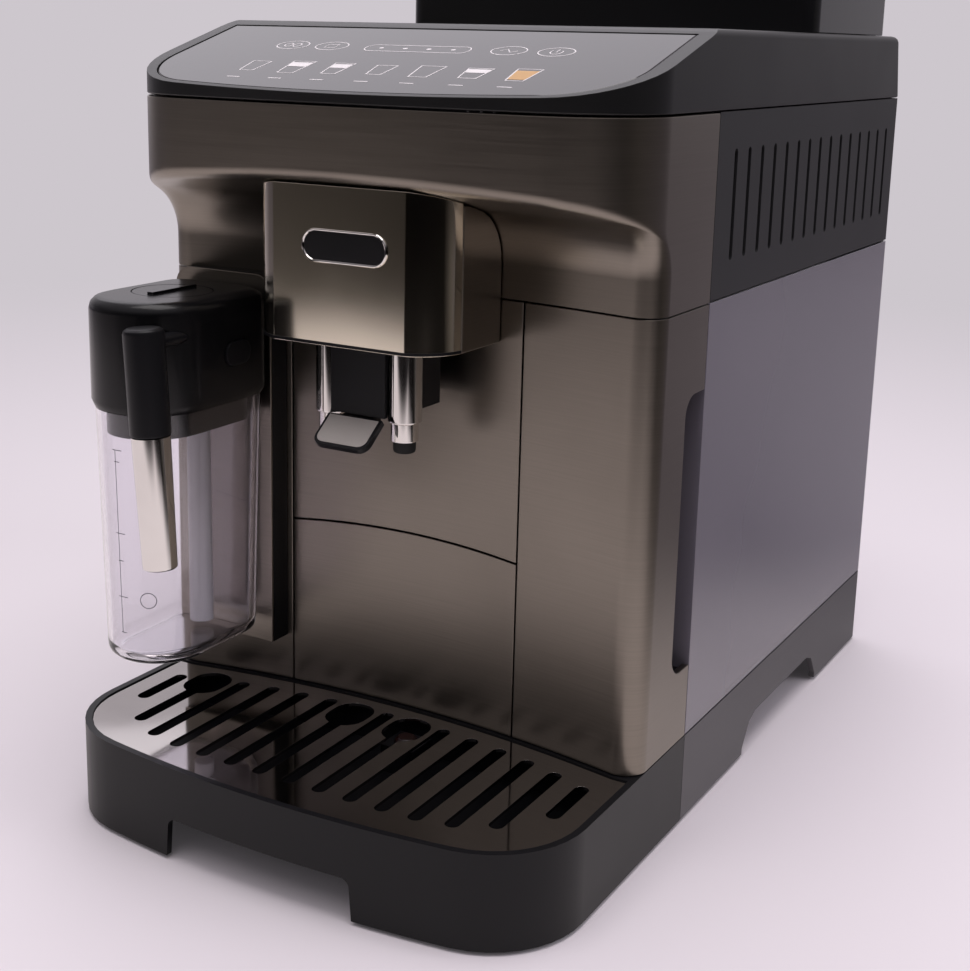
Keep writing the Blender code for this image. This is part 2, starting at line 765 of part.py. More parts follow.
def column_stations(end):
    return [PANEL_HALF + (end - PANEL_HALF) * sin(pi / 2 * i / COLUMN_STEPS) for i in range(COLUMN_STEPS + 1)]


def make_column(name, sign):
    metal = bronze("column_bronze")
    outer = column_stations(HALF)
    inner = column_stations(HALF - WALL)
    points = [(x, alcove_y(x)) for x in outer] + [(HALF, SEAM_Y), (HALF - WALL, SEAM_Y)]
    points += [(x, alcove_y(x, 0, WALL)) for x in reversed(inner)]
    outline = [(sign * x, y) for x, y in points]
    return prism(name, outline, TRAY_TOP + FIT, SPLIT_Z - REVEAL, metal)


def grip_outline(grow):
    corner = GRIP_CORNER + grow
    rear = SEAM_Y + OVERRUN
    points = [(rear, GRIP_LOW - grow), (rear, GRIP_HIGH + grow)]
    points += arc((GRIP_FRONT + GRIP_CORNER, GRIP_HIGH - GRIP_CORNER), corner, pi / 2, pi)
    points += arc((GRIP_FRONT + GRIP_CORNER, GRIP_LOW + GRIP_CORNER), corner, pi, 3 * pi / 2)
    return points


def make_grip(column):
    cut(column, prism("grip_slot", grip_outline(0), HALF - OVERRUN, HALF + OVERRUN, None, "X"))
    face = HALF - WALL - FIT
    back = face - GRIP_DEPTH
    liner = prism("grip_liner", grip_outline(2 * BIN_WALL), back, face, black_plastic("grip_plastic"), "X")
    cut(liner, prism("grip_pocket", grip_outline(BIN_WALL), back + BIN_WALL, HALF + OVERRUN, None, "X"))
    trim = block("grip_trim", (back - OVERRUN, SEAM_Y - REVEAL, GRIP_LOW - OVERRUN),
                 (HALF + OVERRUN, SEAM_Y + 2 * OVERRUN, GRIP_HIGH + OVERRUN), None)
    return cut(liner, trim)


def panel_strip(name, low, high, material, half=PANEL_HALF - REVEAL, thick=WALL - REVEAL):
    """A strip of the alcove wall; low and high give its edges at a station x."""
    rings = []
    for x in [half * (i / 8 - 1) for i in range(17)]:
        front = alcove_y(x)
        back = front + thick
        rings.append([(x, front, low(x)), (x, front, high(x)), (x, back, high(x)), (x, back, low(x))])
    return skin(name, rings, material)


def split_z(x):
    return PANEL_SPLIT_Z + PANEL_SPLIT_RISE * (1 - (x / PANEL_HALF) ** 2)


def make_centre_panel():
    return panel_strip("centre_panel", lambda x: split_z(x) + REVEAL, lambda x: SPLIT_Z - REVEAL,
                       bronze("panel_bronze"))


# Top cover, control panel and hopper

def slope_y(z):
    """Where the sloping control surface stands at height z."""
    return -HOOD_FRONT + (z - SLOPE_Z) * (RIDGE_Y + HOOD_FRONT) / (COVER_TOP - SLOPE_Z)


def slope_z(y):
    return SLOPE_Z + (y + HOOD_FRONT) * (COVER_TOP - SLOPE_Z) / (RIDGE_Y + HOOD_FRONT)


def cover_ring(z, inset):
    """Plan of the cover: the hood's front line and round rear corners that lean in."""
    half = HALF - inset
    back = REAR - inset - COVER_BACK_DROP * max(z - SLOPE_Z, 0) / (COVER_TOP - SLOPE_Z)
    corner = REAR_CORNER
    ring = [(x, hood_y(x, inset), z) for x in across(half)]
    ring += [(x, y, z) for x, y in arc((half - corner, back - corner), corner, 0, pi / 2)]
    ring += [(x, y, z) for x, y in arc((corner - half, back - corner), corner, pi / 2, pi)]
    return ring


def slope_wedge(name):
    """What lies above the sloping control surface."""
    ends = (-HOOD_FRONT - OVERRUN, RIDGE_Y + OVERRUN)
    outline = [(y, slope_z(y)) for y in ends] + [(ends[0], COVER_TOP + OVERRUN)]
    return prism(name, outline, -HALF - OVERRUN, HALF + OVERRUN, None, "X")


def make_cover():
    plastic = finish("cover_plastic", (0.014, 0.014, 0.015), 0.38)
    rings = [cover_ring(HOOD_TOP, REVEAL), cover_ring(HOOD_TOP + REVEAL, 0)]
    for i in range(ARC_STEPS // 2 + 1):
        angle = pi / ARC_STEPS * i
        rings.append(cover_ring(COVER_TOP - COVER_ROUND * (1 - sin(angle)), COVER_ROUND * (1 - cos(angle))))
    cover = cut(skin("top_cover", rings, plastic), slope_wedge("slope_wedge"))
    room = []
    for z in (HOOD_TOP - OVERRUN, SLOPE_Z, COVER_TOP - COVER_ROUND - WALL):
        half = HALF - 2 * WALL
        start = slope_y(max(z, SLOPE_Z) + 2 * WALL) + 2 * WALL
        back = REAR - 3 * WALL
        ring = [(x, max(hood_y(x, 2 * WALL), start), z) for x in across(half)]
        room.append(ring + [(half, back, z), (-half, back, z)])
    cut(cover, skin("cover_room", room, None))
    cut(cover, prism("hopper_well", hopper_plan(HOPPER_STEP - FIT), HOOD_TOP - OVERRUN, COVER_TOP + OVERRUN, None))
    return cover


def panel_plate(name, grow, depth, rise, material):
    """The control glass as a slab parallel to the slope."""
    run = RIDGE_Y + HOOD_FRONT
    climb = COVER_TOP - SLOPE_Z
    length = sqrt(run ** 2 + climb ** 2)
    normal = Vector((0, -climb, run)) / length
    end_y = RIDGE_Y - PANEL_INSET + grow
    half = HALF - PANEL_INSET + grow
    front = HOOD_FRONT - PANEL_FRONT_INSET + grow
    corner = HOOD_CORNER - PANEL_INSET + grow
    outline = [(x, min(bowed_y(x, half, front, corner, HOOD_BOW), end_y)) for x in across(half)]
    outline += [(half, end_y), (-half, end_y)]
    rings = []
    for offset in (-depth, rise):
        rings.append([Vector((x, y, slope_z(y))) + normal * offset for x, y in outline])
    return skin(name, rings, material)


def make_control_panel(cover):
    cut(cover, panel_plate("panel_recess", REVEAL, PANEL_RECESS, OVERRUN, None))
    glass = finish("panel_gloss", (0.012, 0.011, 0.012), 0.06)
    return panel_plate("control_panel", 0, PANEL_RECESS - FIT, FIT - PANEL_RECESS + PANEL_THICK, glass)


def hopper_plan(inset):
    low = (inset - HOPPER_HALF, HOPPER_FRONT + inset)
    high = (HOPPER_HALF - inset, HOPPER_BACK - inset)
    return rounded(low, high, HOPPER_CORNER - inset / 2)


def make_hopper():
    tub = finish("hopper_plastic", (0.010, 0.010, 0.011), 0.30)
    flange = prism("bean_hopper", hopper_plan(0), COVER_TOP + FIT, HOPPER_LEDGE + LID_THICK, tub)
    join(flange, prism("hopper_sunk", hopper_plan(HOPPER_STEP), HOPPER_FLOOR, COVER_TOP + WALL, None))
    above = HOPPER_LEDGE + 2 * OVERRUN
    cut(flange, prism("hopper_room", hopper_plan(HOPPER_STEP + WALL), HOPPER_FLOOR + WALL, above, None))
    cut(flange, prism("lid_seat", hopper_plan(HOPPER_WALL), HOPPER_LEDGE, above, None))
    chute = chute_box(WALL)
    join(flange, block("chute_wall", (chute[0][0], chute[0][1], HOPPER_FLOOR + WALL / 2),
                       (chute[1][0], chute[1][1], chute_top()), None))
    mouth = chute_box(0)
    cut(flange, block("chute_mouth", (mouth[0][0], mouth[0][1], HOPPER_FLOOR - OVERRUN),
                      (mouth[1][0], mouth[1][1], chute_top() + OVERRUN), None))
    cut(flange, turned("bean_throat", (GRINDER_X, GRINDER_Y),
                       [(THROAT_RADIUS, HOPPER_FLOOR - OVERRUN), (THROAT_RADIUS, HOPPER_FLOOR + OVERRUN)], None))
    boss = turned("dial_boss", dial_centre(), [(SHAFT_RADIUS, HOPPER_FLOOR + WALL / 2),
                                              (SHAFT_RADIUS, dial_low() + DIAL_HEIGHT / 2)], None, steps=FINE_STEPS)
    return join(flange, boss)


def chute_top():
    return HOPPER_FLOOR + WALL + CHUTE_RISE


def chute_box(grow):
    centre_x = -HOPPER_HALF / 2
    front = HOPPER_FRONT + HOPPER_STEP + 3 * WALL
    return ((centre_x - CHUTE_WIDTH / 2 - grow, front - grow),
            (centre_x + CHUTE_WIDTH / 2 + grow, front + CHUTE_LENGTH + grow))


def make_door():
    low, high = chute_box(WALL)
    base = chute_top() + FIT
    door = block("preground_door", (low[0], low[1], base), (high[0], high[1], base + DOOR_THICK),
                 black_plastic("door_plastic"))
    lip = block("door_lip", (-HOPPER_HALF / 2 - WALL, low[1] - FIT, base + DOOR_THICK / 2),
                (-HOPPER_HALF / 2 + WALL, low[1] + WALL, base + DOOR_THICK + WALL), None)
    join(door, lip)
    hinge_y = high[1]
    return door, (-HOPPER_HALF / 2, hinge_y, base)


def dial_centre():
    return (HOPPER_HALF / 2, (HOPPER_FRONT + HOPPER_BACK) / 2)


def dial_low():
    return HOPPER_FLOOR + WALL + FIT


def make_dial():
    plastic = finish("dial_plastic", (0.05, 0.05, 0.055), 0.45)
    low = dial_low()
    top = low + DIAL_HEIGHT
    profile = [(DIAL_RADIUS, low), (DIAL_RADIUS, top - WALL), (DIAL_RADIUS - WALL / 2, top)]
    dial = turned("grind_dial", dial_centre(), profile, plastic)
    x, y = dial_centre()
    ridge = block("dial_ridge", (x - WALL / 2, y - DIAL_RADIUS + WALL, top - WALL),
                  (x + WALL / 2, y + DIAL_RADIUS - WALL, top + 2 * WALL), None)
    join(dial, ridge)
    bore = turned("dial_bore", (x, y), [(SHAFT_RADIUS + FIT / 2, low - OVERRUN),
                                       (SHAFT_RADIUS + FIT / 2, low + DIAL_HEIGHT / 2 + FIT)], None,
                  steps=FINE_STEPS)
    return cut(dial, bore)


def make_hopper_lid():
    plastic = finish("lid_plastic", (0.011, 0.011, 0.012), 0.30)
    top = HOPPER_LEDGE + LID_THICK
    edge = HOPPER_WALL + FIT
    rings = []
    for inset, z in ((edge, HOPPER_LEDGE + FIT), (edge, top - REVEAL), (edge + REVEAL, top)):
        rings.append([(x, y, z) for x, y in hopper_plan(inset)])
    lid = skin("hopper_lid", rings, plastic)
    plug = hopper_plan(HOPPER_STEP + WALL + FIT)
    return join(lid, prism("lid_plug", plug, HOPPER_LEDGE - LID_PLUG, HOPPER_LEDGE + LID_THICK / 2, None))


# Spout housing and sliding spout

def housing_outline(inset, back):
    """Plan of the housing: flat face, round corners turned back to the sides."""
    corner = HOUSING_HALF - HOUSING_FLAT
    half = HOUSING_HALF - inset
    points = [(half, back)]
    points += arc((HOUSING_FLAT, HOUSING_FRONT + corner), corner - inset, 0, -pi / 2, 8)
    points += arc((-HOUSING_FLAT, HOUSING_FRONT + corner), corner - inset, -pi / 2, -pi, 8)
    points.append((-half, back))
    return points


def under_cut(name):
    """Everything above the hood's underside, as seen at the housing's sides."""
    outline = [(y, under_z(HOUSING_HALF, y) - FIT) for y in (HOUSING_FRONT - OVERRUN, HOUSING_BACK + OVERRUN)]
    outline += [(y, HOOD_TOP) for y in (HOUSING_BACK + OVERRUN, HOUSING_FRONT - OVERRUN)]
    return prism(name, outline, -HALF, HALF, None, "X")


def make_housing():
    outline = housing_outline(0, HOUSING_BACK)
    shell = prism("spout_housing", outline, HOUSING_LOW, HOOD_TOP - OVERRUN, chrome("housing_chrome"))
    cut(shell, under_cut("under_clear"))
    outline = housing_outline(HOUSING_WALL, HOUSING_BACK + OVERRUN)
    ceiling = under_z(HOUSING_HALF, HOUSING_BACK) - HOUSING_WALL
    room = prism("housing_room", outline, HOUSING_LOW - OVERRUN, ceiling, None)
    return cut(shell, room)


def bracket_levels():
    """Depth in front of the wall and height of the block's back, from below upwards."""
    deepest = alcove_y(HOUSING_HALF) - (HOUSING_BACK + FIT + BRACKET_WALL)
    levels = [(0, HOUSING_LOW)]
    for i in range(COVE_STEPS):
        forward = deepest * (i / (COVE_STEPS - 1)) ** 2
        levels.append((forward, cove_z(forward) - FIT))
    return levels


def make_bracket():
    """Block behind the housing, with the channel that the spout slides in."""
    front = HOUSING_BACK + FIT
    slot = stem_half() + REVEAL
    half = HOUSING_HALF
    rings = []
    for forward, z in bracket_levels():
        back = alcove_y(half, forward) - FIT
        floor = max(min(back - BRACKET_WALL, CARRIAGE_BACK + REVEAL), front + WALL / 2)
        rings.append([(half, front, z), (half, back, z), (-half, back, z), (-half, front, z),
                      (-slot, front, z), (-slot, floor, z), (slot, floor, z), (slot, front, z)])
    return skin("spout_bracket", rings, bronze("bracket_bronze"))


def stem_half():
    return PIPE_X + PIPE_RADIUS


def pipe_profile():
    return [(COLLAR_RADIUS, COLLAR_LOW), (COLLAR_RADIUS, PIPE_LOW - PIPE_LIP),
            (PIPE_RADIUS, PIPE_LOW - PIPE_LIP + COLLAR_CHAMFER), (PIPE_RADIUS, STEM_HIGH)]


def make_carriage():
    plastic = black_plastic("carriage_plastic")
    back_low = SLAB_LOW + WALL
    body = block("spout_carriage", (-CARRIAGE_HALF, PIPE_Y, back_low),
                 (CARRIAGE_HALF, CARRIAGE_BACK, HOUSING_LOW + WALL), plastic)
    stem = block("carriage_stem", (-stem_half(), PIPE_Y, HOUSING_LOW),
                 (stem_half(), PIPE_Y + STEM_DEPTH, STEM_HIGH), None)
    slab = block("carriage_slab", (-SLAB_HALF, SLAB_FRONT, SLAB_LOW), (SLAB_HALF, PIPE_Y + WALL, STEM_HIGH), None)
    join(body, stem, slab)
    for side in (-1, 1):
        bore = [(PIPE_RADIUS + FIT, SLAB_LOW - OVERRUN), (PIPE_RADIUS + FIT, STEM_HIGH + OVERRUN)]
        cut(body, turned("pipe_bore", (side * PIPE_X, PIPE_Y), bore, None))
    return body


def make_pipes():
    metal = chrome("pipe_chrome")
    rubber = black_plastic("nozzle_plastic")
    pieces = []
    for side, sign in (("left", -1), ("right", 1)):
        centre = (sign * PIPE_X, PIPE_Y)
        pieces.append(turned("spout_pipe_" + side, centre, pipe_profile(), metal))
        tip = [(TIP_RADIUS - WALL / 3, TIP_LOW), (TIP_RADIUS, TIP_LOW + WALL / 2), (TIP_RADIUS, COLLAR_LOW - FIT)]
        pieces.append(turned("spout_nozzle_" + side, centre, tip, rubber, steps=FINE_STEPS))
    return pieces


def make_tab():
    """Finger tab that leans forward from the foot of the slab."""
    top_z = SLAB_LOW - FIT
    back = SLAB_FRONT - WALL / 2
    front = back - TAB_REACH
    low_z = top_z - TAB_DROP
    lean = Vector((0, front - back, low_z - top_z))
    normal = Vector((0, lean.z, -lean.y)).normalized() * TAB_THICK
    side = rounded((-TAB_HALF, -TAB_CORNER), (TAB_HALF, lean.length), TAB_CORNER, 4)
    side = [(x, max(v, 0)) for x, v in side]
    outline = []
    for point in side:
        if not outline or (Vector(point) - Vector(outline[-1])).length > FIT:
            outline.append(point)
    rings = []
    for lift in (0, 1):
        rings.append([Vector((x, back, top_z)) + lean.normalized() * v - normal * lift for x, v in outline])
    tab = skin("spout_tab", rings, finish("tab_grey", (0.16, 0.15, 0.15), 0.5))
    neck = PIPE_X - PIPE_RADIUS - WALL
    return join(tab, block("tab_neck", (-neck, back - FIT, top_z - TAB_THICK),
                           (neck, SLAB_FRONT + 2 * WALL, top_z - FIT), None))


# Drip tray and grounds bin

def tray_plan(inset, back):
    half = HALF - inset
    points = [(x, tray_y(x, inset)) for x in across(half)]
    return points + [(half, back), (-half, back)]


def grille_plan(inset):
    """Tray front line and, behind it, a line that runs just in front of the alcove wall."""
    half = HALF - inset
    front = [(x, tray_y(x, inset)) for x in across(half)]
    turn = HALF - COLUMN_CORNER
    back = [(x, alcove_y(min(abs(x), turn)) - inset / 2) for x in across(half, STATIONS // 2)]
    return front + list(reversed(back))


def make_tray():
    plastic = black_plastic("tray_plastic")
    back = SEAM_Y
    tray = prism("drip_tray", tray_plan(0, back), SKIRT_Z, TRAY_TOP, plastic)
    cut(tray, prism("tray_under", tray_plan(WALL, back + OVERRUN), -OVERRUN, TRAY_FLOOR, None))
    cut(tray, prism("tray_basin", grille_plan(TRAY_RIM + TRAY_LEDGE), TRAY_FLOOR + WALL, TRAY_TOP + OVERRUN, None))
    seat = grille_low() - FIT
    cut(tray, prism("grille_seat", grille_plan(TRAY_RIM - FIT), seat, TRAY_TOP + OVERRUN, None))
    left = NOTCH_CENTRE - NOTCH_HALF
    right = NOTCH_CENTRE + NOTCH_HALF
    notch = [(left - NOTCH_FLARE, -OVERRUN), (right + NOTCH_FLARE, -OVERRUN)]
    notch += arc((right - NOTCH_ROUND, NOTCH_TOP - NOTCH_ROUND), NOTCH_ROUND, 0, pi / 2)
    notch += arc((left + NOTCH_ROUND, NOTCH_TOP - NOTCH_ROUND), NOTCH_ROUND, pi / 2, pi)
    cut(tray, prism("tray_notch", notch, -TRAY_FRONT - OVERRUN, NOTCH_DEPTH - TRAY_FRONT, None, "Y"))
    shelf_low = BASE_FLOOR + WALL + FIT
    tongue = block("tray_tongue", (REVEAL - PANEL_HALF, SEAM_Y - WALL, shelf_low),
                   (PANEL_HALF - REVEAL, BIN_BACK, shelf_low + WALL), None)
    join(tray, tongue)
    guide = block("float_guide", float_corner(-1), float_corner(1), None)
    join(tray, guide)
    cut(tray, turned("float_bore", float_centre(), [(FLOAT_RADIUS + FIT, float_low() - FIT),
                                                   (FLOAT_RADIUS + FIT, TRAY_TOP + OVERRUN)], None, steps=FINE_STEPS))
    return tray


def float_centre():
    return (SLOT_PITCH, head_y(SLOT_PITCH))


def float_low():
    return TRAY_FLOOR + WALL + FIT


def grille_low():
    return TRAY_TOP - GRILLE_DROP - GRILLE_THICK


def float_corner(sign):
    x, y = float_centre()
    reach = FLOAT_RADIUS + WALL
    low = TRAY_FLOOR + WALL / 2
    high = grille_low() - FLOAT_GAP
    return (x + sign * reach, y + sign * reach, low if sign < 0 else high)


def slot_back(x):
    return alcove_y(x) - SLOT_SETBACK - SLOT_SETBACK * abs(x / HALF) ** 3


def slot_front(x):
    outermost = SLOT_PITCH * (SLOT_COUNT - 1) / 2
    return -SLOT_FRONT + SLOT_SWEEP * abs(x / outermost) ** 6


def head_y(x):
    return alcove_y(x) - HEAD_SETBACK


def make_grille():
    top = TRAY_TOP - GRILLE_DROP
    plate = prism("drip_grille", grille_plan(TRAY_RIM), top - GRILLE_THICK, top, chrome("grille_steel"))
    middle = (SLOT_COUNT - 1) / 2
    for i in range(SLOT_COUNT):
        x = (i - middle) * SLOT_PITCH
        slot = rounded((x - SLOT_WIDTH / 2, slot_front(x)), (x + SLOT_WIDTH / 2, slot_back(x)),
                       SLOT_WIDTH / 2, 4)
        cut(plate, prism("grille_slot", slot, top - OVERRUN, top + OVERRUN, None))
    for i in HEAD_STATIONS:
        x = i * SLOT_PITCH
        y = head_y(x)
        half_long = HEAD_LENGTH / 2
        spoon = rounded((x - HEAD_HALF, y - half_long), (x + HEAD_HALF, y + half_long), HEAD_HALF - FIT, 5)
        cut(plate, prism("grille_head", spoon, top - OVERRUN, top + OVERRUN, None))
    return plate


def make_float():
    low = float_low()
    top = grille_low() - WALL / 2
    red = finish("float_red", (0.45, 0.02, 0.02), 0.4)
    return turned("level_float", float_centre(), [(FLOAT_RADIUS, low), (FLOAT_RADIUS, top - WALL / 2),
                                                 (FLOAT_RADIUS - WALL / 2, top)], red, steps=FINE_STEPS)


def make_bin():
    front_panel = panel_strip("grounds_front", lambda x: TRAY_TOP + FIT, split_z, bronze("panel_bronze_low"))
    half = PANEL_HALF - REVEAL
    y = alcove_y(0) + WALL
    low = TRAY_TOP + FIT
    tub = prism("grounds_bin", rounded((-half, y), (half, BIN_BACK), WALL * 2), low, BIN_HIGH,
                black_plastic("bin_plastic"))
    room = rounded((BIN_WALL - half, y + BIN_WALL), (half - BIN_WALL, BIN_BACK - BIN_WALL), WALL)
    cut(tub, prism("bin_room", room, low + BIN_WALL, BIN_HIGH + OVERRUN, None))
    return front_panel, tub


# Water tank

def tank_outline(inset):
    corner = max(REAR_CORNER - inset, BIN_WALL)
    low_x = HALF - TANK_DEPTH + inset
    high_x = HALF - inset
    front = SEAM_Y + REVEAL + inset
    back = REAR - inset
    points = [(low_x, back), (low_x, front), (high_x, front)]
    return points + arc((high_x - corner, back - corner), corner, 0, pi / 2)


def make_tank():
    clear = finish("tank_clear", (0.25, 0.22, 0.26), 0.1, 0.0, 0.45)
    low = TRAY_TOP + REVEAL
    high = SPLIT_Z - REVEAL
    ledge = high - TANK_LID_THICK
    tank = prism("water_tank", tank_outline(0), low, high, clear)
    cut(tank, prism("tank_room", tank_outline(TANK_WALL), low + TANK_WALL, high + OVERRUN, None))
    cut(tank, prism("tank_rim", tank_outline(TANK_WALL / 2), ledge - FIT, high + OVERRUN, None))
    seat = HALF - TANK_DEPTH
    boss = turned("valve_boss", (VALVE_Y, VALVE_Z), [(VALVE_RADIUS + 2 * FIT + TANK_WALL, seat + TANK_WALL / 2),
                                                    (VALVE_RADIUS + 2 * FIT + TANK_WALL, seat + VALVE_LENGTH)],
                  None, "X", FINE_STEPS)
    join(tank, boss)
    bore = turned("valve_bore", (VALVE_Y, VALVE_Z), [(VALVE_RADIUS + FIT, seat - OVERRUN),
                                                    (VALVE_RADIUS + FIT, seat + VALVE_LENGTH + OVERRUN)],
                  None, "X", FINE_STEPS)
    cut(tank, bore)
    valve = turned("tank_valve", (VALVE_Y, VALVE_Z), [(VALVE_RADIUS - FIT, seat + FIT), (VALVE_RADIUS, seat + WALL),
                                                     (VALVE_RADIUS, seat + VALVE_LENGTH - FIT)],
                   black_plastic("valve_plastic"), "X", FINE_STEPS)
    lid = prism("tank_lid", tank_outline(TANK_WALL / 2 + FIT), ledge, high, black_plastic("tank_lid_plastic"))
    mouth_x = HALF - TANK_DEPTH / 2
    mouth = rounded((mouth_x - TANK_MOUTH / 2, 0), (mouth_x + TANK_MOUTH / 2, 2 * TANK_MOUTH), WALL)
    cut(lid, prism("tank_mouth", mouth, high - OVERRUN, high + 2 * OVERRUN, None))
    return tank, lid, valve


# Milk carafe and its dock

def carafe_outline(inset):
    """Plan of the carafe: nearly a half circle in front, a round-cornered square end behind."""
    half = CARAFE_HALF - inset
    nose = CARAFE_FRONT + CARAFE_HALF
    tail = CARAFE_BACK - inset
    corner = CARAFE_CORNER
    points = arc((CARAFE_X, nose), half, pi, 2 * pi, 16)
    points += arc((CARAFE_X + half - corner, tail - corner), corner, 0, pi / 2, 4)
    points += arc((CARAFE_X - half + corner, tail - corner), corner, pi / 2, pi, 4)
    return points


def carafe_ring(inset, z):
    return [(x, y, z) for x, y in carafe_outline(inset)]


def carafe_foot(inset, low):
    """Rings of the container's round foot, from its flat bottom up to its wall."""
    rings = []
    for i in range(3):
        angle = pi / 4 * i
        grow = CARAFE_TAPER + CARAFE_FOOT_ROUND * (1 - sin(angle)) + inset
        rings.append(carafe_ring(grow, low + CARAFE_FOOT_ROUND * (1 - cos(angle))))
    return rings


def make_container():
    clear = finish("carafe_clear", (0.80, 0.78, 0.82), 0.06, 0.0, 0.3)
    top = CAP_LOW - FIT
    outer = carafe_foot(0, CARAFE_LOW) + [carafe_ring(FIT, top)]
    inner = carafe_foot(CARAFE_WALL, CARAFE_LOW + CARAFE_WALL)
    inner += [carafe_ring(CARAFE_WALL + FIT, top), carafe_ring(CARAFE_WALL + FIT, top + OVERRUN)]
    jug = skin("carafe_container", outer, clear)
    return cut(jug, skin("carafe_room", inner, None))


def make_cap():
    """Black head of the carafe; its collar hangs inside the container."""
    plastic = black_plastic("carafe_lid_plastic")
    rings = [carafe_ring(0, CAP_LOW), carafe_ring(-CAP_OVERHANG, CAP_LOW + WALL)]
    for i in range(4):
        angle = pi / 2 * i / 3
        rings.append(carafe_ring(CAP_ROUND * (1 - cos(angle)) - CAP_OVERHANG, CAP_TOP - CAP_ROUND * (1 - sin(angle))))
    cap = skin("carafe_lid", rings, plastic)
    gap = CARAFE_WALL + CARAFE_TAPER + FIT
    collar = [carafe_ring(gap, CAP_LOW - COLLAR_DEPTH), carafe_ring(gap, CAP_LOW + WALL)]
    join(cap, skin("cap_collar", collar, None))
    tail = CARAFE_BACK + CAP_OVERHANG
    plug_end = DOCK_FACE - 2 * FIT
    plug = rounded((CARAFE_X - CARAFE_HALF / 2, NOZZLE_Z - CARAFE_HALF / 2),
                   (CARAFE_X + CARAFE_HALF / 2, NOZZLE_Z + CARAFE_HALF / 2), WALL)
    join(cap, prism("dock_plug", plug, tail - OVERRUN, plug_end, None, "Y"))
    cut(cap, turned("nozzle_bore", (CARAFE_X, NOZZLE_Z), [(NOZZLE_RADIUS + 2 * FIT, nozzle_tip() - 2 * FIT),
                                                         (NOZZLE_RADIUS + 2 * FIT, plug_end + OVERRUN)],
                    None, "Y", FINE_STEPS))
    shaft_end = shaft_tail()
    cut(cap, turned("arm_bore", (ARM_X, ARM_PIVOT_Z), [(ARM_SHAFT + FIT / 2, ARM_Y - ARM_RADIUS),
                                                      (ARM_SHAFT + FIT / 2, shaft_end + FIT)], None, "Y", FINE_STEPS))
    cut(cap, turned("froth_seat", (CARAFE_X, FROTH_Y), [(FROTH_RADIUS + FIT, CAP_TOP - FROTH_DEPTH - FIT),
                                                       (FROTH_RADIUS + FIT, CAP_TOP + OVERRUN)], None))
    for side in (-1, 1):
        cut(cap, button_shape("button_seat", side, FIT, OVERRUN, FIT + BUTTON_DEPTH / 2))
    cut(cap, turned("intake_seat", (CARAFE_X, INTAKE_Y), [(INTAKE_RADIUS + FIT, CAP_LOW - COLLAR_DEPTH - OVERRUN),
                                                         (INTAKE_RADIUS + FIT, CAP_LOW)], None, steps=FINE_STEPS))
    return cap


def shaft_tail():
    return ARM_Y + SHAFT_REACH


def button_shape(name, side, grow, out, back, material=None):
    face = CARAFE_HALF + CAP_OVERHANG
    long = BUTTON_LONG / 2 + grow
    tall = BUTTON_TALL / 2 + grow
    outline = rounded((BUTTON_Y - long, BUTTON_Z - tall), (BUTTON_Y + long, BUTTON_Z + tall), tall - FIT, 5)
    inner = CARAFE_X + side * (face - BUTTON_DEPTH - back)
    return prism(name, outline, inner, CARAFE_X + side * (face + out), material, "X")


def make_carafe_fittings():
    plastic = black_plastic("froth_plastic")
    dial = turned("froth_dial", (CARAFE_X, FROTH_Y), [(FROTH_RADIUS, CAP_TOP - FROTH_DEPTH),
                                                     (FROTH_RADIUS, CAP_TOP - FIT), (FROTH_RADIUS - FIT, CAP_TOP)],
                  plastic)
    grip = block("froth_grip", (CARAFE_X - WALL / 2, FROTH_Y - FROTH_RADIUS + WALL, CAP_TOP - WALL),
                 (CARAFE_X + WALL / 2, FROTH_Y + FROTH_RADIUS - WALL, CAP_TOP + FROTH_RIDGE), None)
    join(dial, grip)
    buttons = []
    for side, sign in (("left", -1), ("right", 1)):
        buttons.append(button_shape("release_button_" + side, sign, 0, BUTTON_PROUD, 0,
                                    black_plastic("button_plastic")))
    intake = turned("milk_intake_tube", (CARAFE_X, INTAKE_Y), [(INTAKE_RADIUS, CARAFE_LOW + CARAFE_WALL + WALL),
                                                              (INTAKE_RADIUS, CAP_LOW - FIT)],
                    finish("intake_plastic", (0.75, 0.73, 0.72), 0.4), steps=FINE_STEPS)
    return dial, buttons, intake


def lean(piece):
    """Turn a piece of the arm about the arm's pivot, to the angle at which it hangs."""
    pivot = Vector((ARM_X, ARM_Y, ARM_PIVOT_Z))
    turn = Matrix.Rotation(radians(-ARM_LEAN), 4, "Y")
    piece.data.transform(Matrix.Translation(pivot) @ turn @ Matrix.Translation(-pivot))
    return piece


def make_arm():
    plastic = black_plastic("arm_plastic")
    profile = [(ARM_RADIUS - FIT, ARM_LOW), (ARM_RADIUS, ARM_LOW + WALL / 3), (ARM_RADIUS, ARM_TOP - WALL / 3),
               (ARM_RADIUS - WALL / 3, ARM_TOP)]
    arm = lean(turned("milk_arm", (ARM_X, ARM_Y), profile, plastic))
    shaft = turned("arm_shaft", (ARM_X, ARM_PIVOT_Z), [(ARM_SHAFT, ARM_Y), (ARM_SHAFT, shaft_tail())], None,
                   "Y", FINE_STEPS)
    join(arm, shaft)
    low_radius = MILK_RADIUS - MILK_TAPER
    spout = turned("milk_spout", (ARM_X, ARM_Y), [(low_radius - WALL / 3, MILK_LOW), (low_radius, MILK_LOW + WALL / 3),
                                                 (MILK_RADIUS, ARM_LOW - FIT)], chrome("milk_chrome"))
    bore_radius = low_radius - WALL / 2
    bore = turned("spout_bore", (ARM_X, ARM_Y), [(bore_radius, MILK_LOW - OVERRUN),
                                                 (bore_radius, MILK_LOW + ARM_RADIUS)], None)
    cut(lean(spout), lean(bore))
    return arm, spout


